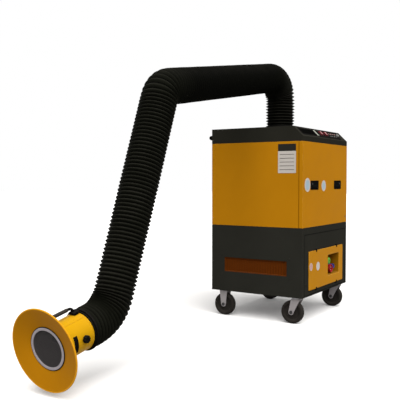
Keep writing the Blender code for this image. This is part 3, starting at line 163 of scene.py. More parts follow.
def drawn(halfX, halfY, midX, midY, steps):
    # rows for loft from one outline: (out, corner, level) draws it out, (level,) is the point in its middle
    return [(halfX + s[0], halfY + s[0], *s[1:], midX, midY) if len(s) == 3 else (0, 0, 0, *s, midX, midY)
            for s in steps]


def bar(inner, outer, low, high, corner):
    # steps for a flat bar round an outline, from its inner to its outer edge and between two levels
    return [(outer, corner, low), (outer, corner, high), (inner, corner, high), (inner, corner, low)]


def surround(halfX, halfY, place, steps, midX=0.0, midY=0.0):
    # a closed section drawn round one outline
    return loft(drawn(halfX, halfY, midX, midY, steps + steps[:1]), place)


def fourCorners(x, y, midX=0.0, midY=0.0):
    # the corners of a rectangle round its middle
    return [(midX + signX * x, midY + signY * y) for signX in (-1, 1) for signY in (-1, 1)]


def plate(halfX, halfY, corner, low, high, bevel, place, midX=0.0, midY=0.0):
    # a plate with rounded edges: its edge profile drawn in from its outline, closed in each face's middle
    edge = roundCorners([(-3 * bevel, low), (0, low), (0, high), (-3 * bevel, high)], bevel)
    steps = [(low,)] + [(e, max(corner + e, 0.0001), level) for e, level in edge] + [(high,)]
    return loft(drawn(halfX, halfY, midX, midY, steps), place)


def strap(halfWidth, halfLength, low, high, bevel, place, midX=0.0, midY=0.0, columns=12, rows=4):
    # a flat strip in small faces, to be wrapped: the section runs round (x, thickness), repeated along y
    reach = halfWidth - 2 * bevel
    across = np.linspace(-reach, reach, columns)
    edge = roundCorners([(reach, high), (halfWidth, high), (halfWidth, low), (reach, low)], bevel)[1:-1]
    top, under = np.column_stack([across, across * 0 + high]), np.column_stack([-across, across * 0 + low])
    section = np.concatenate([top, edge, under, edge[::-1] * [-1, 1], top[:1]])
    thin = np.column_stack([section[:, 0], np.clip(section[:, 1], low + bevel, high - bevel)])
    point = section * 0 + [0, (low + high) / 2]
    body = [(y, section) for y in np.linspace(bevel - halfLength, halfLength - bevel, rows)]
    ends = [(-halfLength, point), (-halfLength, thin)] + body + [(halfLength, thin), (halfLength, point)]
    return place(np.stack([np.insert(shape + [midX, 0], 1, y + midY, axis=1) for y, shape in ends]))


def tube(path, radius, across, steps=16):
    # a circle carried along the path and closed: p + radius (cos a across + sin a (tangent cross across))
    p = np.asarray(path, float)
    tangent = np.gradient(p, axis=0)
    up = np.cross(tangent, unit(across))
    up /= np.linalg.norm(up, axis=1, keepdims=True)
    a = np.linspace(0, 2 * np.pi, steps + 1)[None, :, None]
    r = np.broadcast_to(radius, len(p))[:, None, None]
    body = p[:, None] + r * (np.cos(a) * unit(across) + np.sin(a) * up[:, None])
    cap = np.ones((1, steps + 1, 1))
    return np.concatenate([p[:1, None] * cap, body, p[-1:, None] * cap])


def rod(start, end, radius, steps=16, chamfer=0.0006):
    # a straight bar with small chamfers, turned round its own axis
    start, end = np.asarray(start, float), np.asarray(end, float)
    length, axis = np.linalg.norm(end - start), unit(end - start)
    x = unit(np.cross(axis, (0.0, 0.0, 1.0) if abs(axis[2]) < 0.7 else (1.0, 0.0, 0.0)))
    neck = radius - chamfer
    profile = [(0, 0), (neck, 0), (radius, chamfer), (radius, length - chamfer), (neck, length), (0, length)]
    return turned(profile, at(start, x, np.cross(axis, x)), steps)


def screwHead(radius, height, place, recess=0.45):
    # a domed head with a socket: height falls as the square of the radius, and a hollow in its middle
    r = np.linspace(1.0, recess, 5)
    dome = [(radius * a, height * (0.45 + 0.55 * (1 - a ** 2))) for a in r]
    hollow = height * 0.35
    return turned([(0, 0), (radius, 0)] + dome + [(radius * recess * 0.9, hollow), (0, hollow)], place, 20)


def heads(radius, height, place, spots, recess=0.45, level=0.0):
    # a screw head at each (x, y) of a place
    return [screwHead(radius, height, moved(place, x, y, level), recess) for x, y in spots]


def metreUv(grid):
    # u runs round the longest row and v down the first column, both in metres
    acrossRows = np.linalg.norm(np.diff(grid, axis=1), axis=2)
    row = int(np.argmax(acrossRows.sum(axis=1)))
    u = np.concatenate([[0], np.cumsum(acrossRows[row])])
    v = np.concatenate([[0], np.cumsum(np.linalg.norm(np.diff(grid[:, 0], axis=0), axis=1))])
    return np.stack(np.broadcast_arrays(u[None, :], v[:, None]), axis=-1)


def putIn(name, data):
    # a new object in the scene
    made = bpy.data.objects.new(name, data)
    bpy.context.scene.collection.objects.link(made)
    return made


def dressed(name, mesh, finish, stands, body, slot, ride=True):
    # an object at the origin that rides on a body and stands for its nodes; a body that isn't given is that
    # of the first node, or else the cabinet, and a slot is worked out from the first node or the finish's
    # usual slot but not used
    made = putIn(name, mesh)
    mesh.materials.append(finishes[finish])
    if ride:
        body = body or (nodes[stands[0]]["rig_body"] if stands else "cabinet")
        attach(made, body)
    if stands:
        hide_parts(*stands)
    slot = slot or (nodeSlots[stands[0]] if stands else looks[finish][0])
    return made


def piece(name, grids, finish, stands=(), body=None, slot=None, ride=True, sharp=34, values=None):
    # each grid gives quads between its rows and columns; merging doubles then closes its seams and poles
    sizes = [g.shape[:2] for g in grids]
    starts = np.concatenate([[0], np.cumsum([r * c for r, c in sizes])])
    quads = []
    for start, (rows, columns) in zip(starts, sizes):
        i = start + np.arange(rows * columns).reshape(rows, columns)
        corners = np.stack([i[:-1, :-1], i[:-1, 1:], i[1:, 1:], i[1:, :-1]], axis=-1)
        quads.append(corners.reshape(-1, 4))
    quads = np.concatenate(quads)
    points = np.concatenate([g.reshape(-1, 3) for g in grids])
    uv = np.concatenate([metreUv(g).reshape(-1, 2) for g in grids])
    mesh = bpy.data.meshes.new(name)
    mesh.from_pydata(points.tolist(), [], quads.tolist())
    mesh.uv_layers.new(name="metres").data.foreach_set("uv", uv[quads.ravel()].ravel())
    for key, numbers in (values or {}).items():
        layer = mesh.attributes.new(key, "FLOAT", "POINT")
        layer.data.foreach_set("value", np.asarray(numbers, np.float32).ravel())
    bm = bmesh.new()
    bm.from_mesh(mesh)
    bmesh.ops.remove_doubles(bm, verts=bm.verts, dist=1e-6)
    bmesh.ops.recalc_face_normals(bm, faces=bm.faces)
    smoothed(bm, mesh, sharp)
    return dressed(name, mesh, finish, stands, body, slot, ride)


def smoothed(bm, mesh, sharp):
    # the edited faces go back to the mesh, smooth apart from edges over this angle
    bm.to_mesh(mesh)
    bm.free()
    mesh.shade_smooth()
    mesh.set_sharp_from_angle(angle=math.radians(sharp))


def softened(node, width, finish=None, slot=None, segments=2, sharp=35):
    # the solid's own faces, merged and made whole again, with every corner rounded by a bevel of this width
    source = nodes[node].data
    points = np.zeros(len(source.vertices) * 3)
    source.vertices.foreach_get("co", points)
    corners = np.zeros(len(source.loops), np.int32)
    source.loops.foreach_get("vertex_index", corners)
    mesh = bpy.data.meshes.new(node + "_soft")
    mesh.from_pydata(points.reshape(-1, 3).tolist(), [], corners.reshape(-1, 3).tolist())
    bm = bmesh.new()
    bm.from_mesh(mesh)
    bmesh.ops.remove_doubles(bm, verts=bm.verts, dist=1e-5)
    bmesh.ops.dissolve_limit(bm, angle_limit=math.radians(0.5), verts=bm.verts, edges=bm.edges)
    smoothed(bm, mesh, sharp)
    made = dressed(node + "_soft", mesh, finish or slotFinish[nodeSlots[node]], [node], None, slot)
    bevel = made.modifiers.new("edges", "BEVEL")
    bevel.width = width
    bevel.segments = segments
    bevel.limit_method = "ANGLE"
    bevel.angle_limit = math.radians(sharp)
    bevel.harden_normals = True


# node groups shared by the finishes

def setInputs(tree, node, inputs):
    # each input is linked where its value is a socket, and set where it is a number or a colour
    for key, value in inputs.items():
        if isinstance(value, bpy.types.NodeSocket):
            tree.links.new(value, node.inputs[key])
        else:
            node.inputs[key].default_value = value


def addNode(tree, kind, inputs=None, **settings):
    # a node with its settings and inputs
    made = tree.nodes.new(kind)
    for key, value in settings.items():
        setattr(made, key, value)
    setInputs(tree, made, inputs or {})
    return made


def mathNode(tree, operation, a, b=0.0, clamp=False):
    # one arithmetic step on a and b
    return addNode(tree, "ShaderNodeMath", {0: a, 1: b}, operation=operation, use_clamp=clamp).outputs[0]


def times(tree, a, b, clamp=False):
    # a b
    return mathNode(tree, "MULTIPLY", a, b, clamp)


def mixed(tree, factor, a, b, blend="MIX"):
    # colour a towards colour b
    inputs = {0: factor, 6: a, 7: b}
    return addNode(tree, "ShaderNodeMix", inputs, data_type="RGBA", blend_type=blend).outputs[2]


def ranged(tree, value, low, high, toLow, toHigh):
    # the range low to high carried over to the range toLow to toHigh
    return addNode(tree, "ShaderNodeMapRange", {0: value, 1: low, 2: high, 3: toLow, 4: toHigh}).outputs[0]


def noiseOn(tree, scale, detail=4.0, roughness=0.55):
    # noise on the piece's own coordinates
    place = addNode(tree, "ShaderNodeTexCoord").outputs["Object"]
    inputs = {"Vector": place, "Scale": scale, "Detail": detail, "Roughness": roughness}
    return addNode(tree, "ShaderNodeTexNoise", inputs).outputs["Fac"]


def toneDrift(group, given):
    # colour times 1 + 2 amount (noise - 1/2), so that a big surface isn't one flat colour
    noise = noiseOn(group, given["Scale"])
    swing = times(group, mathNode(group, "SUBTRACT", noise, 0.5), given["Amount"])
    gain = mathNode(group, "ADD", times(group, swing, 2.0), 1.0)
    return mixed(group, 1.0, given["Colour"], gain, "MULTIPLY"), noise


def edgeWearAndHighlight(group, given):
    # mask = amount x (how far the bevelled normal leaves the true one), broken up by noise
    true = addNode(group, "ShaderNodeNewGeometry").outputs["Normal"]
    soft = addNode(group, "ShaderNodeBevel", {"Radius": given["Width"]}, samples=4).outputs["Normal"]
    dot = addNode(group, "ShaderNodeVectorMath", {0: true, 1: soft}, operation="DOT_PRODUCT").outputs["Value"]
    edge = ranged(group, mathNode(group, "SUBTRACT", 1.0, dot), 0.01, 0.12, 0.0, 1.0)
    broken = ranged(group, noiseOn(group, given["Scale"], 4.0, 0.65), 0.42, 0.62, 0.15, 1.0)
    return [times(group, times(group, edge, broken), given["Amount"], clamp=True)]


def settledDust(group, given):
    # mask = amount x upward part of the normal x noise
    normal = addNode(group, "ShaderNodeNewGeometry").outputs["Normal"]
    up = addNode(group, "ShaderNodeSeparateXYZ", {0: normal}).outputs["Z"]
    patch = ranged(group, noiseOn(group, given["Scale"], 5.0, 0.6), 0.35, 0.7, 0.25, 1.0)
    upward = ranged(group, up, 0.1, 1.0, 0.0, 1.0)
    return [times(group, times(group, upward, patch), given["Amount"], clamp=True)]


def fineGrain(group, given):
    # height = noise at the scale + 0.35 noise at four times the scale
    coarse = noiseOn(group, given["Scale"], 2.0)
    fine = noiseOn(group, times(group, given["Scale"], 4.0), 1.0)
    return [mathNode(group, "ADD", coarse, times(group, fine, 0.35))]


def weave(group, given):
    # height = sin(pi threads u) sin(pi threads v) on the piece's own metres: each thread goes over and under
    uv = addNode(group, "ShaderNodeUVMap", uv_map="metres").outputs["UV"]
    apart = addNode(group, "ShaderNodeSeparateXYZ", {0: uv}).outputs
    turn = times(group, given["Threads"], math.pi)
    waves = [mathNode(group, "SINE", times(group, apart[axis], turn)) for axis in ("X", "Y")]
    return [times(group, *waves)]


def newGroup(name, build, outputs, **inputs):
    # a node group: build takes the group and its inputs and gives what goes to its outputs, colours or floats
    group = bpy.data.node_groups.new(name, "ShaderNodeTree")
    for label, value in inputs.items():
        kind = "NodeSocketColor" if isinstance(value, tuple) else "NodeSocketFloat"
        group.interface.new_socket(label, in_out="INPUT", socket_type=kind).default_value = value
    for label in outputs:
        kind = "NodeSocketColor" if label == "Colour" else "NodeSocketFloat"
        group.interface.new_socket(label, in_out="OUTPUT", socket_type=kind)
    results = build(group, group.nodes.new("NodeGroupInput").outputs)
    setInputs(group, group.nodes.new("NodeGroupOutput"), dict(zip(outputs, results)))
    return group


groups = {group.name: group for group in (
    newGroup("toneDrift", toneDrift, ["Colour", "Drift"], Colour=(0.5, 0.5, 0.5, 1), Scale=5.0, Amount=0.1),
    newGroup("edgeWearAndHighlight", edgeWearAndHighlight, ["Mask"], Width=0.0015, Scale=60.0, Amount=0.5),
    newGroup("settledDust", settledDust, ["Mask"], Scale=14.0, Amount=0.2),
    newGroup("fineGrain", fineGrain, ["Height"], Scale=500.0),
    newGroup("weave", weave, ["Height"], Threads=900.0))}


def placed(tree, group, **values):
    # a group's node in a material, with its own values
    made = tree.nodes.new("ShaderNodeGroup")
    made.node_tree = groups[group]
    setInputs(tree, made, values)
    return made.outputs


# each finish: the slot it usually stands for, then what makeFinish takes; grain is per metre, depth in metres
looks = {
    # on the yellow paints the lighter worn colour on the edges is also a painted highlight
    "yellowPaint": ("yellow_paint", dict(colour=(0.402, 0.163, 0.0040), rough=0.42, gloss=0.004, drift=0.08,
        wearAndHighlight=0.70, wornAndLitEdge=(0.66, 0.40, 0.09), dust=0.06, grain=420, depth=0.00010)),
    "yellowPlate": ("yellow_paint", dict(colour=(0.400, 0.168, 0.0050), rough=0.40, gloss=0.006, drift=0.08,
        wearAndHighlight=0.85, wornAndLitEdge=(0.80, 0.56, 0.22), dust=0.04, grain=420, depth=0.00008)),
    # the hood's collar colour is lighter than its dish as a painted highlight
    "hoodPaint": ("yellow_paint", dict(colour=(0.374, 0.150, 0.0030), collar=(0.516, 0.268, 0.0034),
        rough=0.36, gloss=0.012, wearAndHighlight=0.60, wornAndLitEdge=(0.66, 0.40, 0.09), grain=420, depth=0.00010)),
    # the collar's lap, bands and rivets in the same lighter yellow, a painted highlight
    "collarHighlightPaint": ("yellow_paint", dict(colour=(0.516, 0.268, 0.0034), rough=0.36, gloss=0.012, wearAndHighlight=0.60,
        wornAndLitEdge=(0.75, 0.52, 0.14), grain=420, depth=0.00010)),
    # a lighter yellow for the rolled rim, a painted highlight
    "rimHighlightPaint": ("yellow_paint", dict(colour=(0.600, 0.270, 0.0070), rough=0.34, gloss=0.02, drift=0.10,
        wearAndHighlight=0.60, wornAndLitEdge=(0.85, 0.60, 0.16), dust=0.0, grain=420, depth=0.00006)),
    "darkPaint": ("dark_paint", dict(colour=(0.0202, 0.0196, 0.0158), rough=0.48, gloss=0.0002, drift=0.16,
        wearAndHighlight=0.35, wornAndLitEdge=(0.060, 0.058, 0.052), grain=620, depth=0.00012)),
    "capPaint": ("dark_paint", dict(colour=(0.0185, 0.0176, 0.0134), rough=0.44, gloss=0.0001, drift=0.16,
        wearAndHighlight=0.40, wornAndLitEdge=(0.070, 0.069, 0.064), grain=620, depth=0.00012)),
    "orangePaint": ("orange_paint", dict(colour=(0.085, 0.019, 0.0015), rough=0.52, gloss=0.02, drift=0.22,
        wearAndHighlight=0.30, wornAndLitEdge=(0.16, 0.050, 0.010), grain=420, depth=0.00010)),
    "blackPlastic": ("black_plastic", dict(colour=(0.0058, 0.0056, 0.0050), rough=0.42, gloss=0.0001,
        drift=0.18, wearAndHighlight=0.25, wornAndLitEdge=(0.035, 0.035, 0.034), grain=900, depth=0.00010)),
    "rubber": ("black_plastic", dict(colour=(0.0290, 0.0258, 0.0220), rough=0.72, gloss=0.02, drift=0.26,
        wearAndHighlight=0.30, wornAndLitEdge=(0.035, 0.032, 0.028), dust=0.08, grain=700, depth=0.00016)),
    "zinc": ("zinc", dict(colour=(0.248, 0.228, 0.228), rough=0.46, gloss=0.30, metal=0.25, drift=0.14,
        wearAndHighlight=0.40, wornAndLitEdge=(0.44, 0.42, 0.42), dust=0.05, grain=260, depth=0.00006)),
    "steel": ("zinc", dict(colour=(0.34, 0.34, 0.35), rough=0.38, gloss=0.5, metal=0.85, drift=0.14,
        wearAndHighlight=0.30, wornAndLitEdge=(0.55, 0.55, 0.55), dust=0.04, grain=300, depth=0.00005)),
    "darkSteel": ("zinc", dict(colour=(0.040, 0.0385, 0.038), rough=0.50, metal=0.10, drift=0.20, wearAndHighlight=0.30,
        wornAndLitEdge=(0.16, 0.16, 0.16), dust=0.0, grain=300, depth=0.00005)),
    "netWire": ("steel", dict(colour=(0.070, 0.064, 0.064), rough=0.55, gloss=0.02, drift=0.10, dust=0.0,
        grain=300)),
    "aluminium": ("aluminium", dict(colour=(0.290, 0.262, 0.275), rough=0.46, gloss=0.10, metal=0.10,
        wearAndHighlight=0.35, wornAndLitEdge=(0.56, 0.55, 0.56), grain=340, depth=0.00005)),
    "redPlastic": ("red_plastic", dict(colour=(0.30, 0.010, 0.012), rough=0.34, wearAndHighlight=0.35,
        wornAndLitEdge=(0.45, 0.10, 0.08), grain=900, depth=0.00006)),
    "darkRed": ("red_plastic", dict(colour=(0.110, 0.007, 0.012), rough=0.34, gloss=0.03, wearAndHighlight=0.30,
        wornAndLitEdge=(0.20, 0.05, 0.05), dust=0.0, grain=900, depth=0.00005)),
    "palePink": ("grey_plate", dict(colour=(0.42, 0.24, 0.22), rough=0.35, drift=0.08, dust=0.0, grain=900,
        depth=0.00004)),
    "greenPlastic": ("green_plastic", dict(colour=(0.085, 0.25, 0.020), rough=0.40, gloss=0.08, drift=0.14,
        wearAndHighlight=0.35, wornAndLitEdge=(0.20, 0.38, 0.10), grain=800, depth=0.00006)),
    "bluePlastic": ("red_plastic", dict(colour=(0.018, 0.030, 0.20), rough=0.40, gloss=0.08, drift=0.14,
        wearAndHighlight=0.30, wornAndLitEdge=(0.12, 0.20, 0.42), grain=800, depth=0.00006)),
    "greyPlate": ("grey_plate", dict(colour=(0.17, 0.165, 0.155), rough=0.48, wearAndHighlight=0.35,
        wornAndLitEdge=(0.32, 0.32, 0.31), grain=500, depth=0.00008)),
    "paleLabel": ("grey_plate", dict(colour=(0.46, 0.42, 0.38), rough=0.50, drift=0.10, dust=0.0)),
    # a darker copy of the yellow plate for the pocket's lining, painted shade
    "pocketShadePaint": ("yellow_paint", dict(colour=(0.245, 0.105, 0.0030), rough=0.48, gloss=0.004, drift=0.06,
        dust=0.04, grain=420)),
    # a real seal rubber whose dark amber is painted shade for the door's seam
    "seamShadeRubber": ("rubber", dict(colour=(0.200, 0.074, 0.0012), rough=0.60, gloss=0.002, drift=0.05,
        dust=0.0)),
    "tyreRubber": ("rubber", dict(colour=(0.0215, 0.0190, 0.0165), rough=0.62, gloss=0.01, drift=0.15,
        dust=0.06, grain=500, depth=0.00008)),
    "paleStrip": ("grey_plate", dict(colour=(0.27, 0.275, 0.225), rough=0.50, gloss=0.02, drift=0.10,
        dust=0.0)),
    "paleBlue": ("grey_plate", dict(colour=(0.30, 0.38, 0.42), rough=0.45, drift=0.14, dust=0.0)),
    "filterPaper": ("filter_paper", dict(colour=(0.60, 0.57, 0.48), rough=0.92, gloss=0.10, drift=0.16,
        dust=0.20, grain=900, depth=0.00020)),
}
dustColour = (0.30, 0.27, 0.23, 1.0)


def newMaterial(name):
    # a material with its tree and its shader
    made = bpy.data.materials.new(name)
    made.use_nodes = True
    return made, made.node_tree, made.node_tree.nodes["Principled BSDF"]


def makeFinish(name, colour, rough, gloss=0.05, metal=0.0, drift=0.12, wearAndHighlight=0.0, wornAndLitEdge=(1, 1, 1), dust=0.03,
               grain=600, depth=0.00003, collar=None):
    # colour drifts, a masked part takes its own colour, edges go towards theirs as wear and, on the yellow
    # paints, as a painted highlight, then dust settles; the roughness drifts with the colour
    made, tree, shader = newMaterial(name)
    tone = placed(tree, "toneDrift", Colour=(*colour, 1.0), Scale=6.0, Amount=drift)
    shown = tone["Colour"]
    # the collar mask gives the hood's collar its lighter colour, a painted highlight
    if collar:
        mask = addNode(tree, "ShaderNodeAttribute", attribute_name="collar").outputs["Fac"]
        shown = mixed(tree, mask, shown, (*collar, 1.0))
    if wearAndHighlight > 0:
        mask = placed(tree, "edgeWearAndHighlight", Width=0.0018, Scale=55.0, Amount=wearAndHighlight)["Mask"]
        shown = mixed(tree, mask, shown, (*wornAndLitEdge, 1.0))
    if dust > 0:
        mask = placed(tree, "settledDust", Scale=11.0, Amount=dust)["Mask"]
        shown = mixed(tree, mask, shown, dustColour)
    height = placed(tree, "fineGrain", Scale=grain)["Height"]
    bump = addNode(tree, "ShaderNodeBump", {"Height": height, "Distance": depth, "Strength": 0.6})
    setInputs(tree, shader, {
        "Base Color": shown, "Roughness": ranged(tree, tone["Drift"], 0.3, 0.7, rough - 0.06, rough + 0.06),
        "Normal": bump.outputs["Normal"], "Metallic": metal, "Specular IOR Level": gloss})
    return made


def makeHoseCloth():
    # coated cloth, with a painted highlight on the crests of the ribs and painted shade, nearly black, in the
    # creases, and a fine weave
    made, tree, shader = newMaterial("hoseCloth")
    # the crest attribute carries the painted light: the first colour is painted crease shade, the second the
    # painted crest highlight
    crest = addNode(tree, "ShaderNodeAttribute", attribute_name="crest").outputs["Fac"]
    base = mixed(tree, crest, (0.0010, 0.0010, 0.0008, 1), (0.0062, 0.0064, 0.0042, 1))
    tone = placed(tree, "toneDrift", Colour=base, Scale=9.0, Amount=0.35)
    dust = placed(tree, "settledDust", Scale=16.0, Amount=0.03)["Mask"]
    threads = placed(tree, "weave", Threads=650.0)["Height"]
    height = mathNode(tree, "ADD", threads, placed(tree, "fineGrain", Scale=180.0)["Height"])
    bump = addNode(tree, "ShaderNodeBump", {"Height": height, "Distance": 0.00016, "Strength": 0.7})
    setInputs(tree, shader, {
        "Base Color": mixed(tree, dust, tone["Colour"], dustColour), "Normal": bump.outputs["Normal"],
        "Roughness": ranged(tree, tone["Drift"], 0.3, 0.7, 0.55, 0.70), "Specular IOR Level": 0.012})
    return made


def makeDisplayGlass():
    # a dark pane, near black and drifting a little
    made, tree, shader = newMaterial("displayGlass")
    tone = placed(tree, "toneDrift", Colour=(0.0022, 0.0022, 0.0018, 1.0), Scale=18.0, Amount=0.3)
    setInputs(tree, shader, {"Base Color": tone["Colour"], "Specular IOR Level": 0.00002,
                             "Roughness": ranged(tree, tone["Drift"], 0.3, 0.7, 0.16, 0.24)})
    return made


finishes = {name: makeFinish(name, **look) for name, (slot, look) in looks.items()}
finishes["hoseCloth"] = makeHoseCloth()
finishes["displayGlass"] = makeDisplayGlass()
slotFinish = dict(
    yellow_paint="yellowPaint", dark_paint="darkPaint", orange_paint="orangePaint", hose_fabric="hoseCloth",
    black_plastic="blackPlastic", red_plastic="redPlastic", green_plastic="greenPlastic", rubber="rubber",
    grey_plate="greyPlate", filter_paper="filterPaper", zinc="zinc", steel="steel", aluminium="aluminium",
    glass="displayGlass")
nodeSlots = {}
for name, node in nodes.items():
    for place in node.material_slots:
        nodeSlots[name] = place.material.name.split(".")[0]
        place.material = finishes[slotFinish[nodeSlots[name]]]
print("finishes made:", len(finishes))


# levels and faces of the cabinet, in metres

cabinet = dict(halfWidth=0.325, front=-0.280, back=0.280, baseTop=0.5156, bodyTop=0.9756, capTop=1.0566)
upright = at((0, 0, 0), (1, 0, 0), (0, 1, 0))                        # local: x, y, z
onFront = at((0, cabinet["front"], 0), (1, 0, 0), (0, 0, 1))         # local: x, z, out of the front
onLeft = at((-cabinet["halfWidth"], 0, 0), (0, -1, 0), (0, 0, 1))    # local: -y, z, out of the left side
onRight = at((cabinet["halfWidth"], 0, 0), (0, 1, 0), (0, 0, 1))     # local: y, z, out of the right side
onSlope = at((0, -0.2525, 1.0296), (1, 0, 0), (0, 0.055, 0.054))     # local: x, up the slope, out of it


def makeCabinet():
    # the solids' own sheet metal, with rounded edges
    softened("base_shell", 0.0016)
    softened("body_shell", 0.0018)
    softened("filter_door", 0.0018)
    softened("top_cap", 0.0026, "capPaint", segments=3)
    softened("floor_plate", 0.0008)
    softened("deck_plate", 0.0008)
    softened("control_box", 0.0020)
    print("cabinet shells softened")


seal = dict(width=0.010, lip=0.0034)


def makeSeal(width, lip):
    # a rubber strip behind the door's edge and a wider lip, each a closed rounded rectangle with a hole in
    # it; the rubber's dark amber is painted shade for the door's seam
    half, low, high = cabinet["halfWidth"] - 0.003, cabinet["baseTop"] + 0.004, cabinet["bodyTop"] - 0.004
    grids = []
    for out, up, front, back, depth in ((0, 0, -0.0193, -0.0215, width),
                                        (lip, lip - 0.0008, -0.0208, -0.0250, 0.004)):
        steps = bar(-depth, 0, back, front, 0.002)
        grids.append(surround(half + out, (high - low) / 2 + up, onFront, steps, 0, (low + high) / 2))
    piece("door_seal", grids, "seamShadeRubber", body="door")


# base front: cover, connection panel and what sits in its pocket

cover = dict(half=0.2987, low=0.1539, high=0.4773, openX=0.223, openZ=0.079, midZ=0.281, thickness=0.003,
             screwX=0.278, screwZ=0.1047)
panel = dict(half=0.249, tall=0.105, midZ=0.281, low=0.0003, high=0.0053, bevel=0.0016)
clip = dict(x=0.150, half=0.0058, reach=0.0085)
pocket = dict(left=0.018, right=0.190, bottom=0.226, top=0.343, depth=0.060, wall=0.002)


def makeFrontCover(half, low, high, openX, openZ, midZ, thickness, screwX, screwZ):
    # a closed ring of rounded rectangles: out over the edge, across the face, in at the opening and back
    mid, tall = (low + high) / 2, (high - low) / 2
    edge = roundCorners([(-0.004, -thickness), (0, -thickness), (0, 0), (-0.004, 0)], 0.0010)
    rows = drawn(half, tall, 0, mid, [(e, 0.006, level) for e, level in edge])
    rows += [(openX, openZ, 0.004, level, 0, midZ) for level in (0, -thickness)] + rows[:1]
    piece("front_cover_sheet", [loft(rows, onFront)], "darkPaint", ["front_cover"])
    # a black band round the cover's edge, painted shadow for the gap round the cover
    shadowBand = surround(half, tall, onFront, bar(-0.0010, 0.0026, -0.0004, 0.0005, 0.006), 0, mid)
    piece("cover_shadow_band", [shadowBand], "blackPlastic", slot="rubber")
    piece("cover_screws", heads(0.0062, 0.0030, onFront, fourCorners(screwX, screwZ, 0, mid)), "capPaint")


def makeConnectionPanel():
    # panel and pocket are one sheet: pocket floor, pocket wall, face, outer edge, back, pocket's outside
    half, tall, midZ, low, high, bevel = panel.values()
    left, right, bottom, top, depth, wall = pocket.values()
    hole = (right - left) / 2, (top - bottom) / 2, (left + right) / 2, (bottom + top) / 2
    rows = drawn(*hole, [
        (-depth,), (-0.004, 0.002, -depth), (-0.001, 0.004, 0.001 - depth), (0, 0.005, 0.004 - depth),
        (0, 0.005, high - 0.002), (0.0006, 0.005, high - 0.0006), (0.002, 0.006, high), (0.005, 0.009, high)])
    edge = roundCorners([(-0.005, high), (0, high), (0, low), (-0.005, low)], bevel)
    rows += drawn(half, tall, 0, midZ, [(e, 0.006 + e * 0.5, level) for e, level in edge])
    rows += drawn(*hole, [(wall, 0.006, low), (wall, 0.006, -depth - wall), (-depth - wall,)])
    piece("connection_panel", [loft(rows, onFront)], "yellowPlate", ["control_panel"])
    # a thin lining in the pocket, in a darker yellow that is painted shade: its floor and wall, and back
    # along the outside of that
    lining = drawn(*hole, [
        (0.0006 - depth,), (-0.0054, 0.002, 0.0006 - depth), (-0.0016, 0.004, 0.0046 - depth),
        (-0.0006, 0.0046, high - 0.0030), (-0.0001, 0.0050, high - 0.0030), (-0.0001, 0.0050, 0.0040 - depth),
        (-0.0041, 0.0020, 0.0001 - depth), (0.0001 - depth,)])
    piece("pocket_shade_lining", [loft(lining, onFront)], "pocketShadePaint")
    grids = []
    for spot in fourCorners(clip["x"], tall, 0, midZ):
        here = moved(onFront, *spot)
        grids.append(plate(clip["half"], clip["reach"], 0.002, 0.0004, 0.0074, 0.0008, here))
        grids.append(plate(clip["half"] - 0.002, clip["reach"] * 0.35, 0.001, 0.0070, 0.0086, 0.0005, here))
    piece("panel_clips", grids, "blackPlastic")
    for name, x, z, radius, finish in (("left", -0.224, 0.302, 0.0205, "palePink"),
                                       ("right", -0.128, 0.296, 0.0235, "paleLabel")):
        here, inner = moved(onFront, x, z, high + 0.0001), radius - 0.0030
        disc = [(0, 0), (inner - 0.0005, 0), (inner - 0.0001, 0.0003), (inner - 0.0005, 0.0006), (0, 0.0006)]
        rim = [(inner, 0), (radius, 0), (radius, 0.0005), (inner, 0.0005), (inner, 0)]
        piece("panel_disc_" + name, [turned(disc, here)], finish)
        piece("panel_disc_rim_" + name, [turned(rim, here)], "paleLabel")


inlet = dict(x=0.108, z=0.256, back=-0.0597, length=0.0512, radius=0.0225, bore=0.0190, flange=0.026,
             pins=5, pinRing=0.0100)


def makePowerInlet(x, z, back, length, radius, bore, flange, pins, pinRing):
    # a round shroud with a flange and a key rib, an insert inside it, and pins on a circle
    here, neck = moved(onFront, x, z, back), radius - 0.001
    shell = [(0.0140, 0), (flange, 0), (flange, 0.004), (neck, 0.0045), (neck, length - 0.012),
             (radius, length - 0.011), (radius, length), (bore, length), (bore, 0.012), (0.0140, 0.012)]
    key = plate(0.0035, 0.0022, 0.001, 0.006, length - 0.002, 0.0006, here, 0, -radius - 0.0008)
    tabs = [plate(0.0042, 0.0032, 0.0012, 0.012, length - 0.004, 0.0006, here, sign * (radius + 0.001), 0.002)
            for sign in (-1, 1)]
    piece("power_inlet_shroud", [spun(shell, 0.0009, here), key] + tabs, "redPlastic", ["power_inlet"])
    core = [(0, 0.0125), (0.0155, 0.0125), (0.0155, 0.028), (0.0150, 0.0285), (0, 0.0285)]
    piece("power_inlet_insert", [turned(core, here, 36)], "blackPlastic")
    pin = [(0, 0.028), (0.0024, 0.028), (0.0024, 0.043), (0.0014, 0.045), (0, 0.0455)]
    grids = [turned(pin, moved(here, *spot), 14) for spot in around(pins, pinRing, 0.3)]
    piece("power_inlet_pins", grids, "steel")


coupling = dict(x=0.042, z=0.308, back=-0.0597, start=0.0377, front=0.0645, radius=0.012, sleeve=0.018,
                ribs=24)
socket = dict(x=0.150, z=0.265, back=-0.0597, length=0.0477, radius=0.0130)


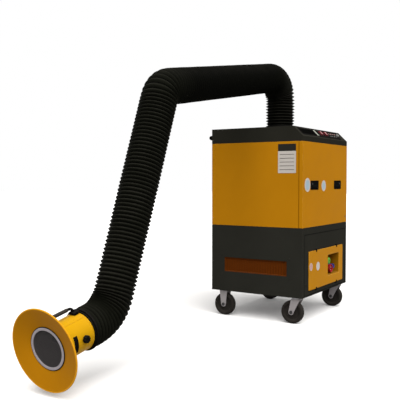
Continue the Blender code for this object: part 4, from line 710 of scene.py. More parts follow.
def makeAirCoupling(x, z, back, start, front, radius, sleeve, ribs):
    # a stem, a knurled sleeve with shallow lobes and a bored nose
    here = moved(onFront, x, z, back)
    grip = [(0.0105, start), (sleeve, start), (sleeve, front - 0.0035), (sleeve - 0.0015, front - 0.001),
            (0.0105, front - 0.001)]
    grip = spun(grip, 0.0009, here, 96, ribs, 0.022)
    piece("air_coupling_sleeve", [grip], "greenPlastic", ["air_coupling"])
    end = start - 0.001
    stem = [(0, 0), (0.0155, 0), (0.0155, 0.006), (radius, 0.007), (radius, end), (0, end)]
    piece("air_coupling_stem", [turned(roundCorners(stem, 0.0008), here, 36)], "steel")
    piece("air_coupling_nose", [ring(0.0065, 0.0100, start, front, 0.0006, here, 36)], "greenPlastic")


def makeBlueSocket(x, z, back, length, radius):
    # a flange, a neck and a lobed cap with a sunk face
    neck, bore = radius - 0.001, radius - 0.003
    cap = roundCorners([
        (0, 0), (radius + 0.003, 0), (radius + 0.003, 0.004), (neck, 0.005), (neck, length - 0.010),
        (radius, length - 0.009), (radius, length), (bore, length), (bore, length - 0.004),
        (0, length - 0.004)], 0.0008)
    piece("blue_socket", [turned(cap, moved(onFront, x, z, back), 60, 12, 0.012)], "bluePlastic")


# side grilles with upright blades

grille = dict(midY=0.004, midZ=0.295, half=0.192, tall=0.040, lap=0.0095, behind=-0.0036, blades=24,
              tilt=math.radians(-38), bladeWidth=0.0150, bladeThick=0.0011)


def makeGrille(side, place, sign, midY, midZ, half, tall, lap, behind, blades, tilt, bladeWidth, bladeThick):
    # a frame behind the wall, and blades each turned about its upright line: (w cos tilt, z, w sin tilt)
    mid = sign * midY
    steps = [(e, 0.003, behind - level) for e, level in (
        (lap, 0.0016), (lap, 0), (-0.0035, 0), (-0.0055, 0.0030), (-0.0055, 0.0046), (lap - 0.002, 0.0046))]
    grids = [surround(half, tall, place, steps, mid, midZ)]
    for x in mid - half + 2 * half / blades * (np.arange(blades) + 0.5):
        here = at((x, midZ, behind - 0.0062), (math.cos(tilt), 0, math.sin(tilt)), (0, 1, 0))
        blade = plate(bladeWidth / 2, tall - 0.004, 0.0010, -bladeThick / 2, bladeThick / 2, 0.0003, here)
        grids.append(place(blade))
    piece("grille_" + side, grids, "orangePaint", ["outlet_grille_" + side])
    spots = fourCorners(half + 0.016, tall + 0.014, mid, midZ)
    piece("grille_screws_" + side, heads(0.0040, 0.0020, place, spots, 0.4), "capPaint")


# castors

castor = dict(wheelX=0.285, swivelY=-0.233, trail=0.026, rearY=0.214, radius=0.0625, tread=0.017, hub=0.020)


def makeWheel(name, x, y):
    # the tyre's section is a rounded crown, and the core has a sunk web and a hub; a bar goes through them,
    # and on each side sit a washer and a six-sided nut with a domed end
    radius, tread, hub = castor["radius"], castor["tread"], castor["hub"]
    here = at((x, y, radius), (0, 1, 0), (0, 0, 1))
    tyre = [(0.0465, tread - 0.0015), (0.050, tread), (radius - 0.003, tread - 0.0005),
            (radius, tread - 0.006)]
    core = [(0.0054, hub), (0.0130, hub), (0.0145, 0.012), (0.0180, 0.0085), (0.0400, 0.0085),
            (0.0440, 0.0130), (0.0465, 0.0140)]
    tyre, core = [side + [(r, -h) for r, h in reversed(side)] for side in (tyre, core)]
    piece(name + "_tyre", [spun(tyre, 0.0035, here, 72)], "tyreRubber", [name + "_wheel"])
    piece(name + "_core", [spun(core, 0.0012, here, 64)], "tyreRubber", body=name + "_roller")
    washer = [(0, 0.0236), (0.0095, 0.0236), (0.0095, 0.0248), (0, 0.0248)]
    nut = [(0, 0.0247), (0.0080, 0.0247), (0.0085, 0.0253), (0.0085, 0.0290), (0.0076, 0.0298), (0, 0.0298)]
    grids = [rod((x - 0.0290, y, radius), (x + 0.0290, y, radius), 0.0049)]
    for sign in (-1, 1):
        end = at((x, y, radius), (0, sign, 0), (0, 0, 1))
        grids += [turned(washer, end, 32), turned(nut, end, 6)]
    piece(name + "_bolt", grids, "darkSteel", [name + "_axle"])


def makeCastors():
    # forks and wheels, the race of balls between swivel head and fork, and nuts under each top plate
    c = castor
    race = [(0.0270, 0.1400), (0.0305, 0.1400), (0.0315, 0.1440), (0.0305, 0.1480), (0.0270, 0.1480)]
    nut = [(0, 0.0036), (0.0062, 0.0036), (0.0066, 0.0030), (0.0066, 0.0001), (0, 0.0001)]
    for side, x in (("left", -c["wheelX"]), ("right", c["wheelX"])):
        for node in ("front_" + side + "_fork", "rear_" + side + "_fork", "front_" + side + "_swivel_head"):
            softened(node, 0.0009)
        makeWheel("front_" + side, x, c["swivelY"] + c["trail"])
        makeWheel("rear_" + side, x, c["rearY"])
        piece("front_" + side + "_race", [spun(race, 0.0012, moved(upright, x, c["swivelY"]))], "steel")
        for end, y in (("front", c["swivelY"]), ("rear", c["rearY"])):
            places = [at((a, b, 0.1521), (1, 0, 0), (0, -1, 0)) for a, b in fourCorners(0.024, 0.031, x, y)]
            piece(end + "_" + side + "_nuts", [turned(nut, place, 6) for place in places], "steel")
    print("castors made")


# door latches

latch = dict(x=0.170, z=0.742, half=0.055, tall=0.025, lip=0.0015, hollow=0.005, depth=0.016,
             paddleHalf=0.0490, paddleTall=0.0175, gripZ=-0.0085)


def makeLatches(x, z, half, tall, lip, hollow, depth, paddleHalf, paddleTall, gripZ):
    # on each side a tray, a paddle and its keyhole, and a stud in the corner of the door
    for side, sign in (("left", -1), ("right", 1)):
        here = moved(onFront, sign * x, z)
        # tray: hollow floor, hollow wall, rim, outer edge and back
        rows = drawn(half, tall, 0, 0, [
            (-depth,), (-0.008, 0.002, -depth), (-hollow, 0.004, 0.003 - depth),
            (-hollow, 0.004, lip - 0.0006), (0.0008 - hollow, 0.0045, lip), (-0.0008, 0.0045, lip),
            (0, 0.005, lip - 0.0007), (0, 0.005, 0.0003), (-0.0032, 0.004, 0.0003),
            (-0.0032, 0.004, -depth - 0.0018), (-depth - 0.0018,)])
        piece("latch_tray_" + side + "_shell", [loft(rows, here)], "blackPlastic", ["latch_tray_" + side])
        # paddle: a plate with a raised grip near its lower edge, which rises as sin(pi t / 2) up its sides
        grip = [(paddleHalf - 0.006 - 0.010 * t, 0.0060 * (1 - 0.5 * t), 0.002,
                 0.0009 + 0.0016 * math.sin(math.pi * t / 2), 0, gripZ) for t in np.linspace(0, 1, 9)]
        grip = [(0, 0, 0, 0.0004, 0, gripZ)] + grip + [(0, 0, 0, 0.0025, 0, gripZ)]
        grids = [plate(paddleHalf, paddleTall, 0.003, -0.0020, 0.0010, 0.0008, here), loft(grip, here)]
        piece("latch_paddle_" + side + "_plate", grids, "blackPlastic", ["latch_paddle_" + side])
        key = heads(0.0050, 0.0016, here, [(sign * 0.030, 0.008)], 0.35, 0.0010)
        piece("latch_key_" + side, key, "darkSteel", body=side + "_latch")
    stud = heads(0.0060, 0.0022, onFront, [(0.302, 0.550)], 0.4)
    piece("door_stud", stud, "darkSteel", body="door", slot="black_plastic")
    print("latches made")


# plates on the side and discs on the door

label = dict(mid=0.188, half=0.052, low=0.807, header=0.924, high=0.962, lift=0.0003, top=0.0009)


def makeLabels(mid, half, low, header, high, lift, top):
    # a blank plate with a plain dark band and five ruled lines, and plain discs with rims
    field, band = [plate(half, (b - a) / 2, 0.003, lift, top, 0.0002, onLeft, mid, (a + b) / 2)
                   for a, b in ((low, header), (header, high))]
    lines = [plate(half - 0.010, 0.0012, 0.0006, top, top + 0.0002, 0.00008, onLeft, mid, z)
             for z in np.linspace(low + 0.018, header - 0.018, 5)]
    piece("side_plate_field", [field], "paleLabel")
    piece("side_plate_header", [band] + lines, "darkPaint")
    for name, x, z, radius in (("left", -0.266, 0.744, 0.037), ("middle", -0.041, 0.738, 0.0305)):
        here, inner = moved(onFront, x, z, lift), radius - 0.010
        rim = [(inner, 0), (radius, 0), (radius, 0.0006), (inner, 0.0006), (inner, 0)]
        disc = [(0, 0), (inner - 0.0002, 0), (inner - 0.0002, 0.0006), (0, 0.0006)]
        piece("door_disc_rim_" + name, [turned(rim, here, 64)], "paleLabel", body="door")
        piece("door_disc_" + name, [turned(disc, here, 64)], "paleBlue", body="door")


# console on the cap's slope; each plate has its middle, half width and half height

console = dict(display=(-0.210, 0.095, 0.026), overlay=(0.0725, 0.1775, 0.028), strip=(-0.091, 0.011, 0.022),
               keys=(-0.025, 0.045), keyHalf=(0.0138, 0.0128), lamps=np.linspace(0.112, 0.196, 4),
               knobX=0.225)


def makeConsole():
    # display, plate, keys, lamps and knob, each drawn round its own middle on the slope
    c = console
    # display: a raised bezel round a sunk pane
    x, half, tall = c["display"]
    bezel = [(0, 0.004, 0.0003), (0, 0.004, 0.0017), (-0.0006, 0.0036, 0.0023), (-0.005, 0.003, 0.0023),
             (-0.0055, 0.003, 0.0017), (-0.0055, 0.003, 0.0003)]
    bezel = surround(half, tall, onSlope, bezel, x)
    piece("display_bezel", [bezel], "blackPlastic", ["console_display"], slot="black_plastic")
    pane = plate(half - 0.0056, tall - 0.0056, 0.003, 0.0003, 0.0015, 0.0003, onSlope, x)
    piece("display_pane", [pane], "displayGlass", slot="glass")
    x, half, tall = c["overlay"]
    overlay = plate(half, tall, 0.004, 0.0003, 0.0023, 0.0006, onSlope, x)
    piece("console_overlay", [overlay], "blackPlastic", ["console_plate"])
    x, half, tall = c["strip"]
    piece("console_strip", [plate(half, tall, 0.002, 0.0023, 0.0027, 0.00015, onSlope, x)], "paleStrip")
    # keys: a collar on the plate, and a dished cap that rides with the button
    half, tall = c["keyHalf"]
    collar = [(0.0022, 0.003, 0.0022), (0.0020, 0.003, 0.0048), (0.0008, 0.0025, 0.0048),
              (0.0006, 0.0025, 0.0022)]
    stem = [(0, -0.0055), (0.0046, -0.0055), (0.0046, 0.0052), (0, 0.0052)]
    for name, x in zip(("start", "stop"), c["keys"]):
        piece("key_collar_" + name, [surround(half, tall, onSlope, collar, x)], "darkRed")
        cap = drawn(half, tall, x, 0, [
            (0.0050,), (-0.001, 0.002, 0.0050), (0, 0.0025, 0.0058), (0, 0.0025, 0.0088),
            (-0.0006, 0.0022, 0.0095), (-0.0020, 0.002, 0.0097)])
        cap += drawn(half * 0.6, tall * 0.6, x, 0, [(0, 0.003, 0.0090), (0.0086,)])
        grids = [loft(cap, onSlope), turned(stem, moved(onSlope, x, 0), 24)]
        piece("key_cap_" + name, grids, "darkRed", ["button_" + name])
        here = moved(onSlope, x - half * 0.45, -0.0015)
        mark = plate(half * 0.40, tall * 0.72, 0.0015, 0.0088, 0.0101, 0.0003, here)
        piece("key_mark_" + name, [mark], "palePink", body=name + "_button")
    # a row of plain lamps with a bar under each, and a knob, on the right of the plate
    lamp = [(0, 0.0022), (0.0040, 0.0022), (0.0040, 0.0030), (0.0030, 0.0040), (0.0014, 0.0045), (0, 0.0046)]
    grids = [turned(lamp, moved(onSlope, x, 0.008), 24) for x in c["lamps"]]
    piece("console_lamps", grids, "palePink", slot="red_plastic")
    marks = [plate(0.0078, 0.0022, 0.0008, 0.0022, 0.0026, 0.0001, onSlope, x, -0.010) for x in c["lamps"]]
    piece("console_marks", marks, "greyPlate")
    knob = [(0, 0.0024), (0.0105, 0.0024), (0.0100, 0.0100), (0.0090, 0.0112), (0, 0.0112)]
    knob = turned(roundCorners(knob, 0.0006), moved(onSlope, c["knobX"], 0), 60, 20, 0.02)
    piece("console_knob", [knob], "greyPlate")
    print("console made")


# push handle

handle = dict(radius=0.0125, half=0.265, standoff=0.050, z=1.01367, bend=0.040, foot=0.022)


def makePushHandle(radius, half, standoff, z, bend, foot):
    # a bar carried round two corners, with a turned flange at each foot, and a grip on its middle
    wall = cabinet["back"]
    spots = ((-half, 0.001), (-half, standoff), (half, standoff), (half, 0.001))
    corners = [(x, wall + y, z) for x, y in spots]
    flange = roundCorners([
        (0, 0.0004), (foot, 0.0004), (foot, 0.0035), (0.0155, 0.0065), (0.0130, 0.0110), (0, 0.0110)], 0.0016)
    grids = [tube(resampled(roundCorners(corners, bend, 14), 0.004), radius, (0, 0, 1), 28)]
    grids += [turned(flange, at((x, wall, z), (-1, 0, 0), (0, 0, 1))) for x in (-half, half)]
    piece("push_bar", grids, "blackPlastic", ["push_handle"])
    onBar = at((0, wall + standoff, z), (0, 0, 1), (0, 1, 0))
    piece("push_grip", [ring(0.0120, 0.0150, -0.14, 0.14, 0.0015, onBar, 36)], "rubber")


# turntable on the cap

table = dict(y=0.010, top=1.0689, foot=0.9758, radius=0.105, bore=0.0692, duct=0.0726)


def makeTurntable(y, top, foot, radius, bore, duct):
    # a turned ring with its duct, and screws an even turn apart
    here, low = moved(upright, 0, y), cabinet["capTop"] + 0.0003
    section = [(bore, top), (radius - 0.004, top), (radius, top - 0.004), (radius, low), (duct, low),
               (duct, foot), (bore, foot)]
    piece("turntable_ring_body", [spun(section, 0.0012, here, 96)], "darkPaint", ["turntable_ring"])
    screws = heads(0.0042, 0.0030, here, around(8, 0.0970, 0.2), level=top - 0.0012)
    piece("turntable_screws", screws, "darkSteel")


# the arm's centre line, shared by the hose, its clamps and the hood

arm = dict(start=(0.0, 0.010, 1.0745), shoulder=(0.0, 0.010, 1.3726), upperLength=1.189,
           upperDrop=math.radians(9.6), lowerLength=0.998, lowerLean=math.radians(20.8), hoodReach=0.350,
           hoodDip=math.radians(11.0), bends=(0.120, 0.090, 0.160), hoseEnd=0.1906)


def heading(down):
    # unit vector in the arm's plane towards -X, turned down by an angle
    return np.array([-math.cos(down), 0.0, -math.sin(down)])


upWay, sideWay = np.array([0.0, 0.0, 1.0]), np.array([0.0, 1.0, 0.0])
upperWay, lowerWay = heading(arm["upperDrop"]), heading(math.pi / 2 - arm["lowerLean"])
hoodWay = heading(arm["hoodDip"])
shoulder = np.array(arm["shoulder"])
elbow = shoulder + upperWay * arm["upperLength"]
wrist = elbow + lowerWay * arm["lowerLength"]
mouth = wrist + hoodWay * arm["hoodReach"]
hoodTop = np.array([hoodWay[2], 0.0, -hoodWay[0]])
onHood = at(mouth, hoodTop, -sideWay)      # local: towards the hood's top, towards -Y, back from the mouth


def cornerArc(corner, into, out, radius, count=60):
    # centre + first cos a + into radius sin a, from the end of one straight to the start of the next
    turn = math.acos(float(np.clip(into @ out, -1, 1)))
    centre = corner + unit(out - into) * radius / math.cos(turn / 2)
    first = corner - into * radius * math.tan(turn / 2) - centre
    a = np.linspace(0, turn, count)[:, None]
    return centre + first * np.cos(a) + into * radius * np.sin(a)


# the two entries after squeezeEnd set a painted highlight on the rib crests and a painted lighter base on the
# post
hose = dict(pitch=0.0168, crest=0.0816, root=0.0716, bore=0.0700, round=72,
            phases=(0, 0.035, 0.10, 0.20, 0.34, 0.42, 0.50, 0.58, 0.66, 0.80, 0.90, 0.965),
            bulge=1.3, band=2.6, postExtra=0.20, postPoint=0.8, squeeze=0.32, squeezeEnd=(0.020, 0.035),
            highlightRange=(0.22, 1.1), base=0.36, window=0.040)


def hosePath():
    # straights and arcs at 1 mm, then a moving average over the window so that the bends start gently
    ways = (upWay, upperWay, lowerWay, hoodWay)
    arcs = [cornerArc(*corner) for corner in zip((shoulder, elbow, wrist), ways, ways[1:], arm["bends"])]
    path = resampled(np.concatenate([[arm["start"]], *arcs, [mouth - hoodWay * arm["hoseEnd"]]]), 0.001)
    reach = int(hose["window"] / 0.002)
    steps = np.arange(1, reach + 1)[:, None]
    before, after = path[0] - steps[::-1] * (path[1] - path[0]), path[-1] + steps * (path[-1] - path[-2])
    long = np.concatenate([before, path, after])
    kernel = np.ones(2 * reach + 1) / (2 * reach + 1)
    return np.stack([np.convolve(long[:, k], kernel, "valid") for k in range(3)], axis=1)


def makeHose():
    # radius = root + (crest - root)(1 - |2p - 1|^bulge)^k along each rib's phase p, a little uneven from rib
    # to rib; the ribs are taller and more pointed (k above 1) on the post, and flatter under the clamps at
    # both ends; a painted highlight band on each rib is 1 - |2p - 1|^band, fainter on the post and the upper
    # run, with a painted lighter base on the post, and the bore gets the painted crease shade
    h, path = hose, hosePath()
    along = np.concatenate([[0], np.cumsum(np.linalg.norm(np.diff(path, axis=0), axis=1))])
    length, perRib = along[-1], len(h["phases"])
    ribs = int(round(length / h["pitch"]))
    phase = np.append(np.tile(h["phases"], ribs), 0.0)
    places = np.append((np.repeat(np.arange(ribs), perRib) + phase[:-1]) / ribs * length, length)
    centre = np.stack([np.interp(places, along, path[:, k]) for k in range(3)], axis=1)
    tangent = np.gradient(centre, places, axis=0)
    tangent /= np.linalg.norm(tangent, axis=1, keepdims=True)
    random = np.random.default_rng(7)
    uneven = np.interp(places, np.linspace(0, length, ribs + 1), random.normal(0, 0.00022, ribs + 1))
    sway = np.interp(places, np.linspace(0, length, ribs // 5), random.normal(0, 0.00030, ribs // 5))
    nearest = [np.argmin(np.linalg.norm(centre - pivot, axis=1)) for pivot in (shoulder, elbow, wrist)]
    onPost = 1 - np.clip((places - places[nearest[0]]) / 0.20, 0, 1)
    past = np.clip((places - places[nearest[1]] + 0.16) / 0.20, 0, 1)
    near, far = h["squeezeEnd"]
    free = np.clip((np.minimum(places, length - places) - near) / (far - near), 0, 1)
    crest = (1 - np.abs(2 * phase - 1) ** h["bulge"]) ** (1 + h["postPoint"] * onPost)
    crest = crest * (1 + h["postExtra"] * onPost) * (1 - h["squeeze"] * (1 - free))
    angle = np.linspace(0, 2 * np.pi, h["round"] + 1)
    radius = (h["root"] + (h["crest"] - h["root"] + uneven) * crest)[:, None]
    radius = radius + (sway * crest)[:, None] * np.cos(2 * angle + places[:, None] * 9)
    spoke = np.cos(angle)[:, None] * sideWay + np.sin(angle)[:, None] * np.cross(tangent, sideWay)[:, None]
    outer, inner = centre[:, None] + radius[..., None] * spoke, centre[:, None] + h["bore"] * spoke
    faint, full = h["highlightRange"]
    # painted highlight on each rib, and a painted lighter base on the post
    light = (1 - np.abs(2 * phase - 1) ** h["band"]) * (faint + (full - faint) * past) + h["base"] * onPost
    cuts = [int(round((a + b) / 2 / perRib)) * perRib for a, b in zip(nearest, nearest[1:])]
    cuts = [0] + cuts + [len(centre) - 1]
    bodies = ("arm_base", "upper_arm", "lower_arm", "hood_neck")
    sections = (("post", shoulder - upWay * 0.17, shoulder + upperWay * 0.17, "shoulder"),
                ("upper", elbow - upperWay * 0.20, elbow + lowerWay * 0.20, "elbow"),
                ("lower", wrist - lowerWay * 0.20, wrist + hoodWay * 0.12, "hood_bend"))
    for k, (run, start, end, bend) in enumerate(sections):
        name, stands = "hose_" + ("post", "middle", "end")[k], [run + "_hose", bend + "_hose"]
        bodyA, bodyB = bodies[k:k + 2]
        rows = np.arange(cuts[k], cuts[k + 1] + 1)
        back = rows[::-perRib]
        grid = np.concatenate([outer[rows], inner[back], outer[rows[:1]]])
        tone = np.repeat(np.concatenate([light[rows], 0 * light[back], light[rows[:1]]]), h["round"] + 1)
        made = piece(name, [grid], "hoseCloth", stands, ride=False, sharp=75, values={"crest": tone})
        tuple(start)
        tuple(end)
        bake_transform(made)
    print("hose made:", ribs, "ribs")


def makeLinkage():
    # the tubes that the hose is clamped on, and the two links inside the hose
    softened("swivel_collar", 0.0009, sharp=40)
    softened("hood_cuff", 0.0009, sharp=40)
    softened("upper_link", 0.0007, "steel", "steel", sharp=40)
    softened("lower_link", 0.0007, "steel", "steel", sharp=40)


clamp = dict(radius=0.0806, width=0.0080, thickness=0.0012, screwRadius=0.0036)


def makeClamp(name, body, origin, axis, facing, radius, width, thickness, screwRadius):
    # a band round the hose's end, a worm housing that follows it and a screw across
    axis = unit(axis)
    outward = unit(facing - axis * (facing @ axis))
    side = np.cross(axis, outward)
    band = ring(radius - 0.004, radius + thickness, 0, width, 0.0004, at(origin, outward, side))
    onBand = wrapped(origin, axis, outward, radius)
    box = plate(0.013, width / 2 - 0.0005, 0.002, 0.0008, 0.0072, 0.0008, onBand, 0, width / 2)
    piece("clamp_band_" + name, [band, box], "blackPlastic", body=body)
    start = origin + axis * width / 2 + outward * (radius + 0.0060) - side * 0.017
    piece("clamp_screw_" + name, [rod(start, start + side * 0.034, screwRadius)], "darkSteel", body=body)


# hood

hood = dict(rim=0.1565, bead=0.0030, dish=0.0220, throat=0.0830, collar=0.0720, length=0.1868, wall=0.0020)
onCollar = wrapped(mouth, -hoodWay, hoodTop, hood["collar"])   # local: round the collar, back, outward


def makeHoodShell(rim, bead, dish, throat, collar, length, wall, steps=128):
    # one closed section: collar's inside, throat, a dish that falls as 1 - t^0.94 of the way t out, its back
    # and the collar's outside; the rolled rim is a ring of its own, in a lighter yellow that is a painted
    # highlight
    t = np.linspace(0, 1, 14)
    level = 0.0006 + (dish - 0.0006) * (1 - t ** 0.94)
    front = np.stack([throat + (rim - 0.0036 - throat) * t, level], axis=1)
    behind = front[::-1] + np.array([0.0003, wall])
    bore = collar - wall
    inside = [(bore, length), (bore, dish + 0.004), (collar + 0.0005, dish + 0.0004), (throat, dish)]
    inside = roundCorners(inside, 0.003)
    back = dish + wall
    outside = roundCorners([
        (throat, back + 0.0006), (collar + 0.0022, back + 0.0020), (collar, back + 0.0080),
        (collar, length - 0.0006), (collar - 0.0008, length)], 0.0030)
    profile = np.concatenate([inside, front[1:], behind[:-1], outside, inside[:1]])
    # the collar's outside is marked for the hood paint's lighter collar colour, a painted highlight
    mask = np.zeros((len(profile), steps + 1))
    mask[-len(outside) - 1:-1] = 1.0
    body = turned(profile, onHood, steps)
    piece("hood_body", [body], "hoodPaint", ["hood_shell"], sharp=38, values={"collar": mask})
    a = np.linspace(0, 2 * np.pi, 17)
    roll = np.stack([rim - bead + bead * np.cos(a), bead + 0.0002 + bead * np.sin(a)], axis=1)
    piece("hood_rim", [turned(roll, onHood, steps)], "rimHighlightPaint", body="hood")
    # lap strip with rivets along the collar's top, and a band at both ends of the collar, in the collar's
    # lighter yellow that is a painted highlight
    grids = [strap(0.0085, 0.0660, -0.0002, 0.0014, 0.0004, onCollar, 0.030, 0.1080)]
    for low, out in ((0.1780, 0.0016), (0.0390, 0.0014)):
        band = [(collar - 0.0004, low), (collar + out, low + 0.0010), (collar + out, low + 0.0040),
                (collar - 0.0004, low + 0.0050)]
        grids.append(spun(band, 0.0006, onHood, 96))
    rivet = [(0, 0), (0.0030, 0), (0.0026, 0.0010), (0.0015, 0.0016), (0, 0.0018)]
    grids += [turned(rivet, rivetPlace(0.030, s, 0.0014), 18) for s in np.linspace(0.052, 0.164, 5)]
    piece("hood_lap", grids, "collarHighlightPaint", body="hood")


def rivetPlace(arc, s, level):
    # local frame that stands on the collar: outward is the fastener's axis
    turn = arc / hood["collar"]
    outward = math.cos(turn) * hoodTop + math.sin(turn) * np.cross(-hoodWay, hoodTop)
    origin = mouth - hoodWay * s + outward * (hood["collar"] + level)
    return at(origin, -hoodWay, np.cross(outward, -hoodWay))


throat = dict(outer=0.0790, bore=0.0690, front=0.0186, back=0.0217, gasket=0.0820, screws=6)
net = dict(radius=0.0699, pitch=0.0042, wire=0.00062, level=0.0236, samples=4)


def makeThroat(outer, bore, front, back, gasket, screws):
    # a dark sleeve lines the collar in front of and behind the damper as painted shade for the collar's
    # inside, and a screwed ring holds the net
    sleeve = ring(0.0689, 0.0698, 0.0262, 0.1650, 0.0003, onHood)
    piece("hood_shade_sleeve", [sleeve], "darkPaint", body="hood", slot="steel")
    plateRing = ring(bore, outer, front, back, 0.0010, onHood, 128)
    piece("throat_ring_plate", [plateRing], "aluminium", ["throat_ring"])
    # a black gasket under the ring, partly painted shade for the gap between the ring and the dish
    seat = ring(outer - 0.001, gasket, 0.0198, back, 0.0006, onHood, 128)
    piece("throat_shade_gasket", [seat], "blackPlastic", body="hood", slot="rubber")
    facing = at(mouth, hoodTop, sideWay)      # local: out of the mouth is up
    grids = heads(0.0026, 0.0014, facing, around(screws, (bore + outer) / 2, 0.35), 0.4, -front)
    piece("throat_screws", grids, "aluminium", body="hood", slot="zinc")


def makeNet(radius, pitch, wire, level, samples):
    # each wire is a circle carried along a straight chord that waves over and under its neighbours
    count = int(radius / pitch)
    grids = []
    for way, across in enumerate((sideWay, hoodTop)):
        for k, offset in enumerate(np.arange(-count, count + 1) * pitch):
            half = math.sqrt(radius ** 2 - offset ** 2)
            a = np.arange(-half, half + 1e-9, pitch / samples)
            wave = wire * 0.95 * np.cos(np.pi * a / pitch + np.pi * (k + way))
            line = np.stack([a, a * 0 + offset, level + wave], axis=1)
            path = onHood(line[:, [1, 0, 2]] if way else line)
            grids.append(tube(path, wire, across, 5))
    piece("hood_net", grids, "netWire", ["hood_mesh"], sharp=70)
    hoop = ring(0.0686, 0.0699, 0.0222, 0.0252, 0.0004, onHood)
    piece("hood_net_hoop", [hoop], "darkSteel", body="hood", slot="steel")


damper = dict(place=0.135, disc=0.0676, knob=0.0140, length=0.016)


def makeDamper(place, disc, knob, length):
    # a knob with eight lobes and a pointer, a disc on its shaft, and a screw and a blank plate on the collar
    centre, base = mouth - hoodWay * place, hood["collar"] + 0.0006
    top = base + length
    side = at(centre, -hoodWay, np.cross(-sideWay, -hoodWay))      # local: back, across, out towards -Y
    shape = roundCorners([
        (0, base), (knob * 0.80, base), (knob, base + 0.003), (knob, top - 0.003), (knob * 0.86, top),
        (knob * 0.55, top - 0.0008), (0, top - 0.0012)], 0.0012)
    pointer = plate(0.0012, 0.0050, 0.0005, top - 0.0014, top + 0.0006, 0.0002, side, 0, 0.006)
    piece("damper_knob", [turned(shape, side, 96, 8, 0.075), pointer], "blackPlastic", ["damper_flap"])
    flat = roundCorners([(0, -0.0008), (disc, -0.0008), (disc, 0.0008), (0, 0.0008)], 0.0005)
    flap = turned(flat, at(centre, sideWay, np.cross(hoodTop, sideWay)), 96)
    end = sideWay * (base + 0.001)
    piece("damper_disc", [flap, rod(centre - end, centre + end, 0.0038)], "darkSteel", body="damper")
    screw = screwHead(0.0034, 0.0022, rivetPlace(0.1215, 0.160, 0.0), 0.4)
    piece("collar_screw", [screw], "darkSteel", body="hood")
    blank = strap(0.0330, 0.0095, 0.0003, 0.0010, 0.0002, onCollar, 0.120, 0.092, columns=24)
    piece("collar_plate", [blank], "blackPlastic", body="hood")


hoodHandle = dict(radius=0.0054, front=0.050, back=0.158, foot=0.171, rise=0.028, bend=0.014)


def makeHoodHandle(radius, front, back, foot, rise, bend):
    # a bar carried up from the flange, along over the collar and down to its lug, and a sleeve on it
    collar = hood["collar"]
    grip = collar + rise
    spots = [(collar - 0.0006, front), (grip, front), (grip, back), (collar + 0.0044, foot)]
    corners = [mouth - hoodWay * s + hoodTop * up for up, s in spots]
    grids = [tube(resampled(roundCorners(corners, bend, 10), 0.002), radius, sideWay, 20),
             strap(0.0130, 0.0145, 0.0002, 0.0125, 0.0022, onCollar, 0, foot, columns=8, rows=3),
             strap(0.0100, 0.0085, 0.0002, 0.0030, 0.0009, onCollar, 0, front, columns=8, rows=3)]
    piece("hood_grip_bar", grids, "blackPlastic", ["hood_handle"])
    ends = [mouth - hoodWay * s + hoodTop * grip for s in (0.066, 0.136)]
    piece("hood_grip_sleeve", [tube(resampled(ends, 0.002), 0.0072, sideWay, 24)], "rubber", body="hood")


# inside: filter, tray, fan and motor

cartridge = dict(bottom=0.5541, height=0.380, outer=0.1595, depth=0.026, inner=0.082, pleats=84)


def makeInside(bottom, height, outer, depth, inner, pleats):
    # the pleats' radius is outer - depth f^2 (3 - 2f), where f goes from 1 to 0 and back over each pleat
    a = np.linspace(0, 2 * np.pi, pleats * 6 + 1)
    fold = np.abs(((a * pleats / (2 * np.pi)) % 1.0) * 2 - 1)
    radius = outer - 0.002 - depth * fold * fold * (3 - 2 * fold)
    low, high = bottom + 0.0006, bottom + height - 0.0006
    levels = np.linspace(low, high, 5)
    rows = [(radius, z) for z in levels] + [(inner, z) for z in levels[::-1]] + [(radius, low)]
    wall = np.stack([np.stack([r * np.cos(a), r * np.sin(a), a * 0 + z], axis=1) for r, z in rows])
    piece("filter_pleats", [wall], "filterPaper", ["filter_cartridge"], sharp=60)
    bands = [ring(outer - 0.003, outer + 0.0014, z, z + 0.012, 0.001, upright)
             for z in (low + 0.002, low + 0.120, low + 0.245, high - 0.014)]
    piece("filter_bands", bands, "zinc")
    softened("filter_cap", 0.0010, sharp=40)
    softened("dust_tray", 0.0008)
    softened("fan_housing", 0.0007, sharp=40)
    softened("fan_motor", 0.0020, sharp=40)
    softened("impeller", 0.0005, sharp=40)
    fins = ring(0.079, 0.084, 0.2360, 0.3480, 0.0015, upright, 288, 36, 0.022)
    piece("motor_fins", [fins], "darkPaint")
    print("inside made")


makeCabinet()
makeSeal(**seal)
makeFrontCover(**cover)
makeConnectionPanel()
makePowerInlet(**inlet)
makeAirCoupling(**coupling)
makeBlueSocket(**socket)
makeGrille("left", onLeft, -1, **grille)
makeGrille("right", onRight, 1, **grille)
makeCastors()
makeLatches(**latch)
makeLabels(**label)
makeConsole()
makePushHandle(**handle)
makeTurntable(**table)
makeHose()
makeLinkage()
makeClamp("foot", "arm_base", (0, table["y"], 1.0790), upWay, np.array([0.4, -1.0, 0.0]), **clamp)
makeClamp("hood", "hood_neck", mouth - hoodWay * 0.1935, -hoodWay, sideWay * 0.8 - hoodTop * 0.6, **clamp)
makeHoodShell(**hood)
makeThroat(**throat)
makeNet(**net)
makeDamper(**damper)
makeHoodHandle(**hoodHandle)
makeInside(**cartridge)
print("pieces made")


# camera, floor, light

view = dict(place=(-3.427, -1.650, 0.773), turn=(88.163, 0.0, -57.037), lens=57.57, sensor=36.0)
camera = putIn("camera", bpy.data.cameras.new("camera"))
camera.location = view["place"]
camera.rotation_euler = [math.radians(a) for a in view["turn"]]
camera.data.lens = view["lens"]
camera.data.sensor_width = view["sensor"]
bpy.context.scene.camera = camera

stage = dict(half=30.0, albedo=0.90, bounce=0.28, glow=0.03, world=0.55, worldSeen=1.0)
white = (1.0, 1.0, 1.0, 1.0)


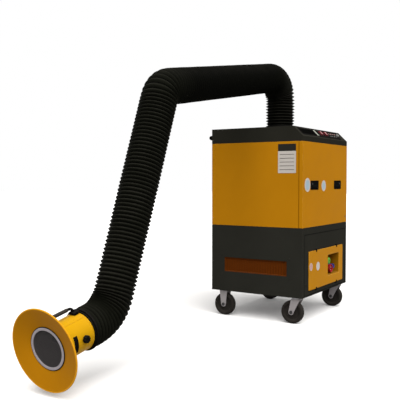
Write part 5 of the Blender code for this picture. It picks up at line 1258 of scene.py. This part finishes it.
def seenRays(tree):
    # 1 for rays that come from the lens, off gloss or through glass
    path = addNode(tree, "ShaderNodeLightPath").outputs
    reached = mathNode(tree, "MAXIMUM", path["Is Glossy Ray"], path["Is Transmission Ray"])
    return mathNode(tree, "MAXIMUM", path["Is Camera Ray"], reached)


def makeFloor():
    # a wide pale floor that keeps the shadow: white where it is seen, greyer for the light it throws back up
    half, albedo = stage["half"], stage["albedo"]
    mesh = bpy.data.meshes.new("floor")
    corners = [(-half, -half, 0), (half, -half, 0), (half, half, 0), (-half, half, 0)]
    mesh.from_pydata(corners, [], [(0, 1, 2, 3)])
    floor = putIn("floor", mesh)
    made, tree, shader = newMaterial("paleFloor")
    pale = (albedo, albedo * 0.985, albedo * 0.965, 1.0)
    tone = placed(tree, "toneDrift", Colour=pale, Scale=1.5, Amount=0.01)
    seen = seenRays(tree)
    setInputs(tree, shader, {
        "Base Color": mixed(tree, seen, (stage["bounce"],) * 3 + (1,), tone["Colour"]), "Roughness": 0.9,
        "Specular IOR Level": 0.0, "Emission Color": white,
        "Emission Strength": times(tree, seen, stage["glow"])})
    mesh.materials.append(made)


def makeWorld():
    # white where the lens, gloss or glass sees it, a softer grey for the light it gives
    world = bpy.data.worlds.new("studio")
    world.use_nodes = True
    tree = world.node_tree
    strength = ranged(tree, seenRays(tree), 0.0, 1.0, stage["world"], stage["worldSeen"])
    setInputs(tree, tree.nodes["Background"], {"Color": white, "Strength": strength})
    bpy.context.scene.world = world


lamps = (   # name, where its light comes from, spread in degrees, strength
    ("key", (-0.55, -0.57, 1.05), 64.0, 4.4),
    ("fill", (-0.70, 0.30, 0.80), 80.0, 0.10))


def makeLamps():
    # wide suns: each one's local Z points back to where its light comes from
    for name, source, spread, strength in lamps:
        data = bpy.data.lights.new(name, "SUN")
        data.angle = math.radians(spread)
        data.energy = strength
        back = unit(source)
        x = unit(np.cross((0, 0, 1), back))
        y = np.cross(back, x)
        turn = [[x[k], y[k], back[k], 3.0 * back[k]] for k in range(3)]
        putIn(name, data).matrix_world = Matrix(turn + [[0, 0, 0, 1]])


makeFloor()
makeWorld()
makeLamps()
bpy.context.scene.view_settings.view_transform = "Standard"
print("stage and light made")
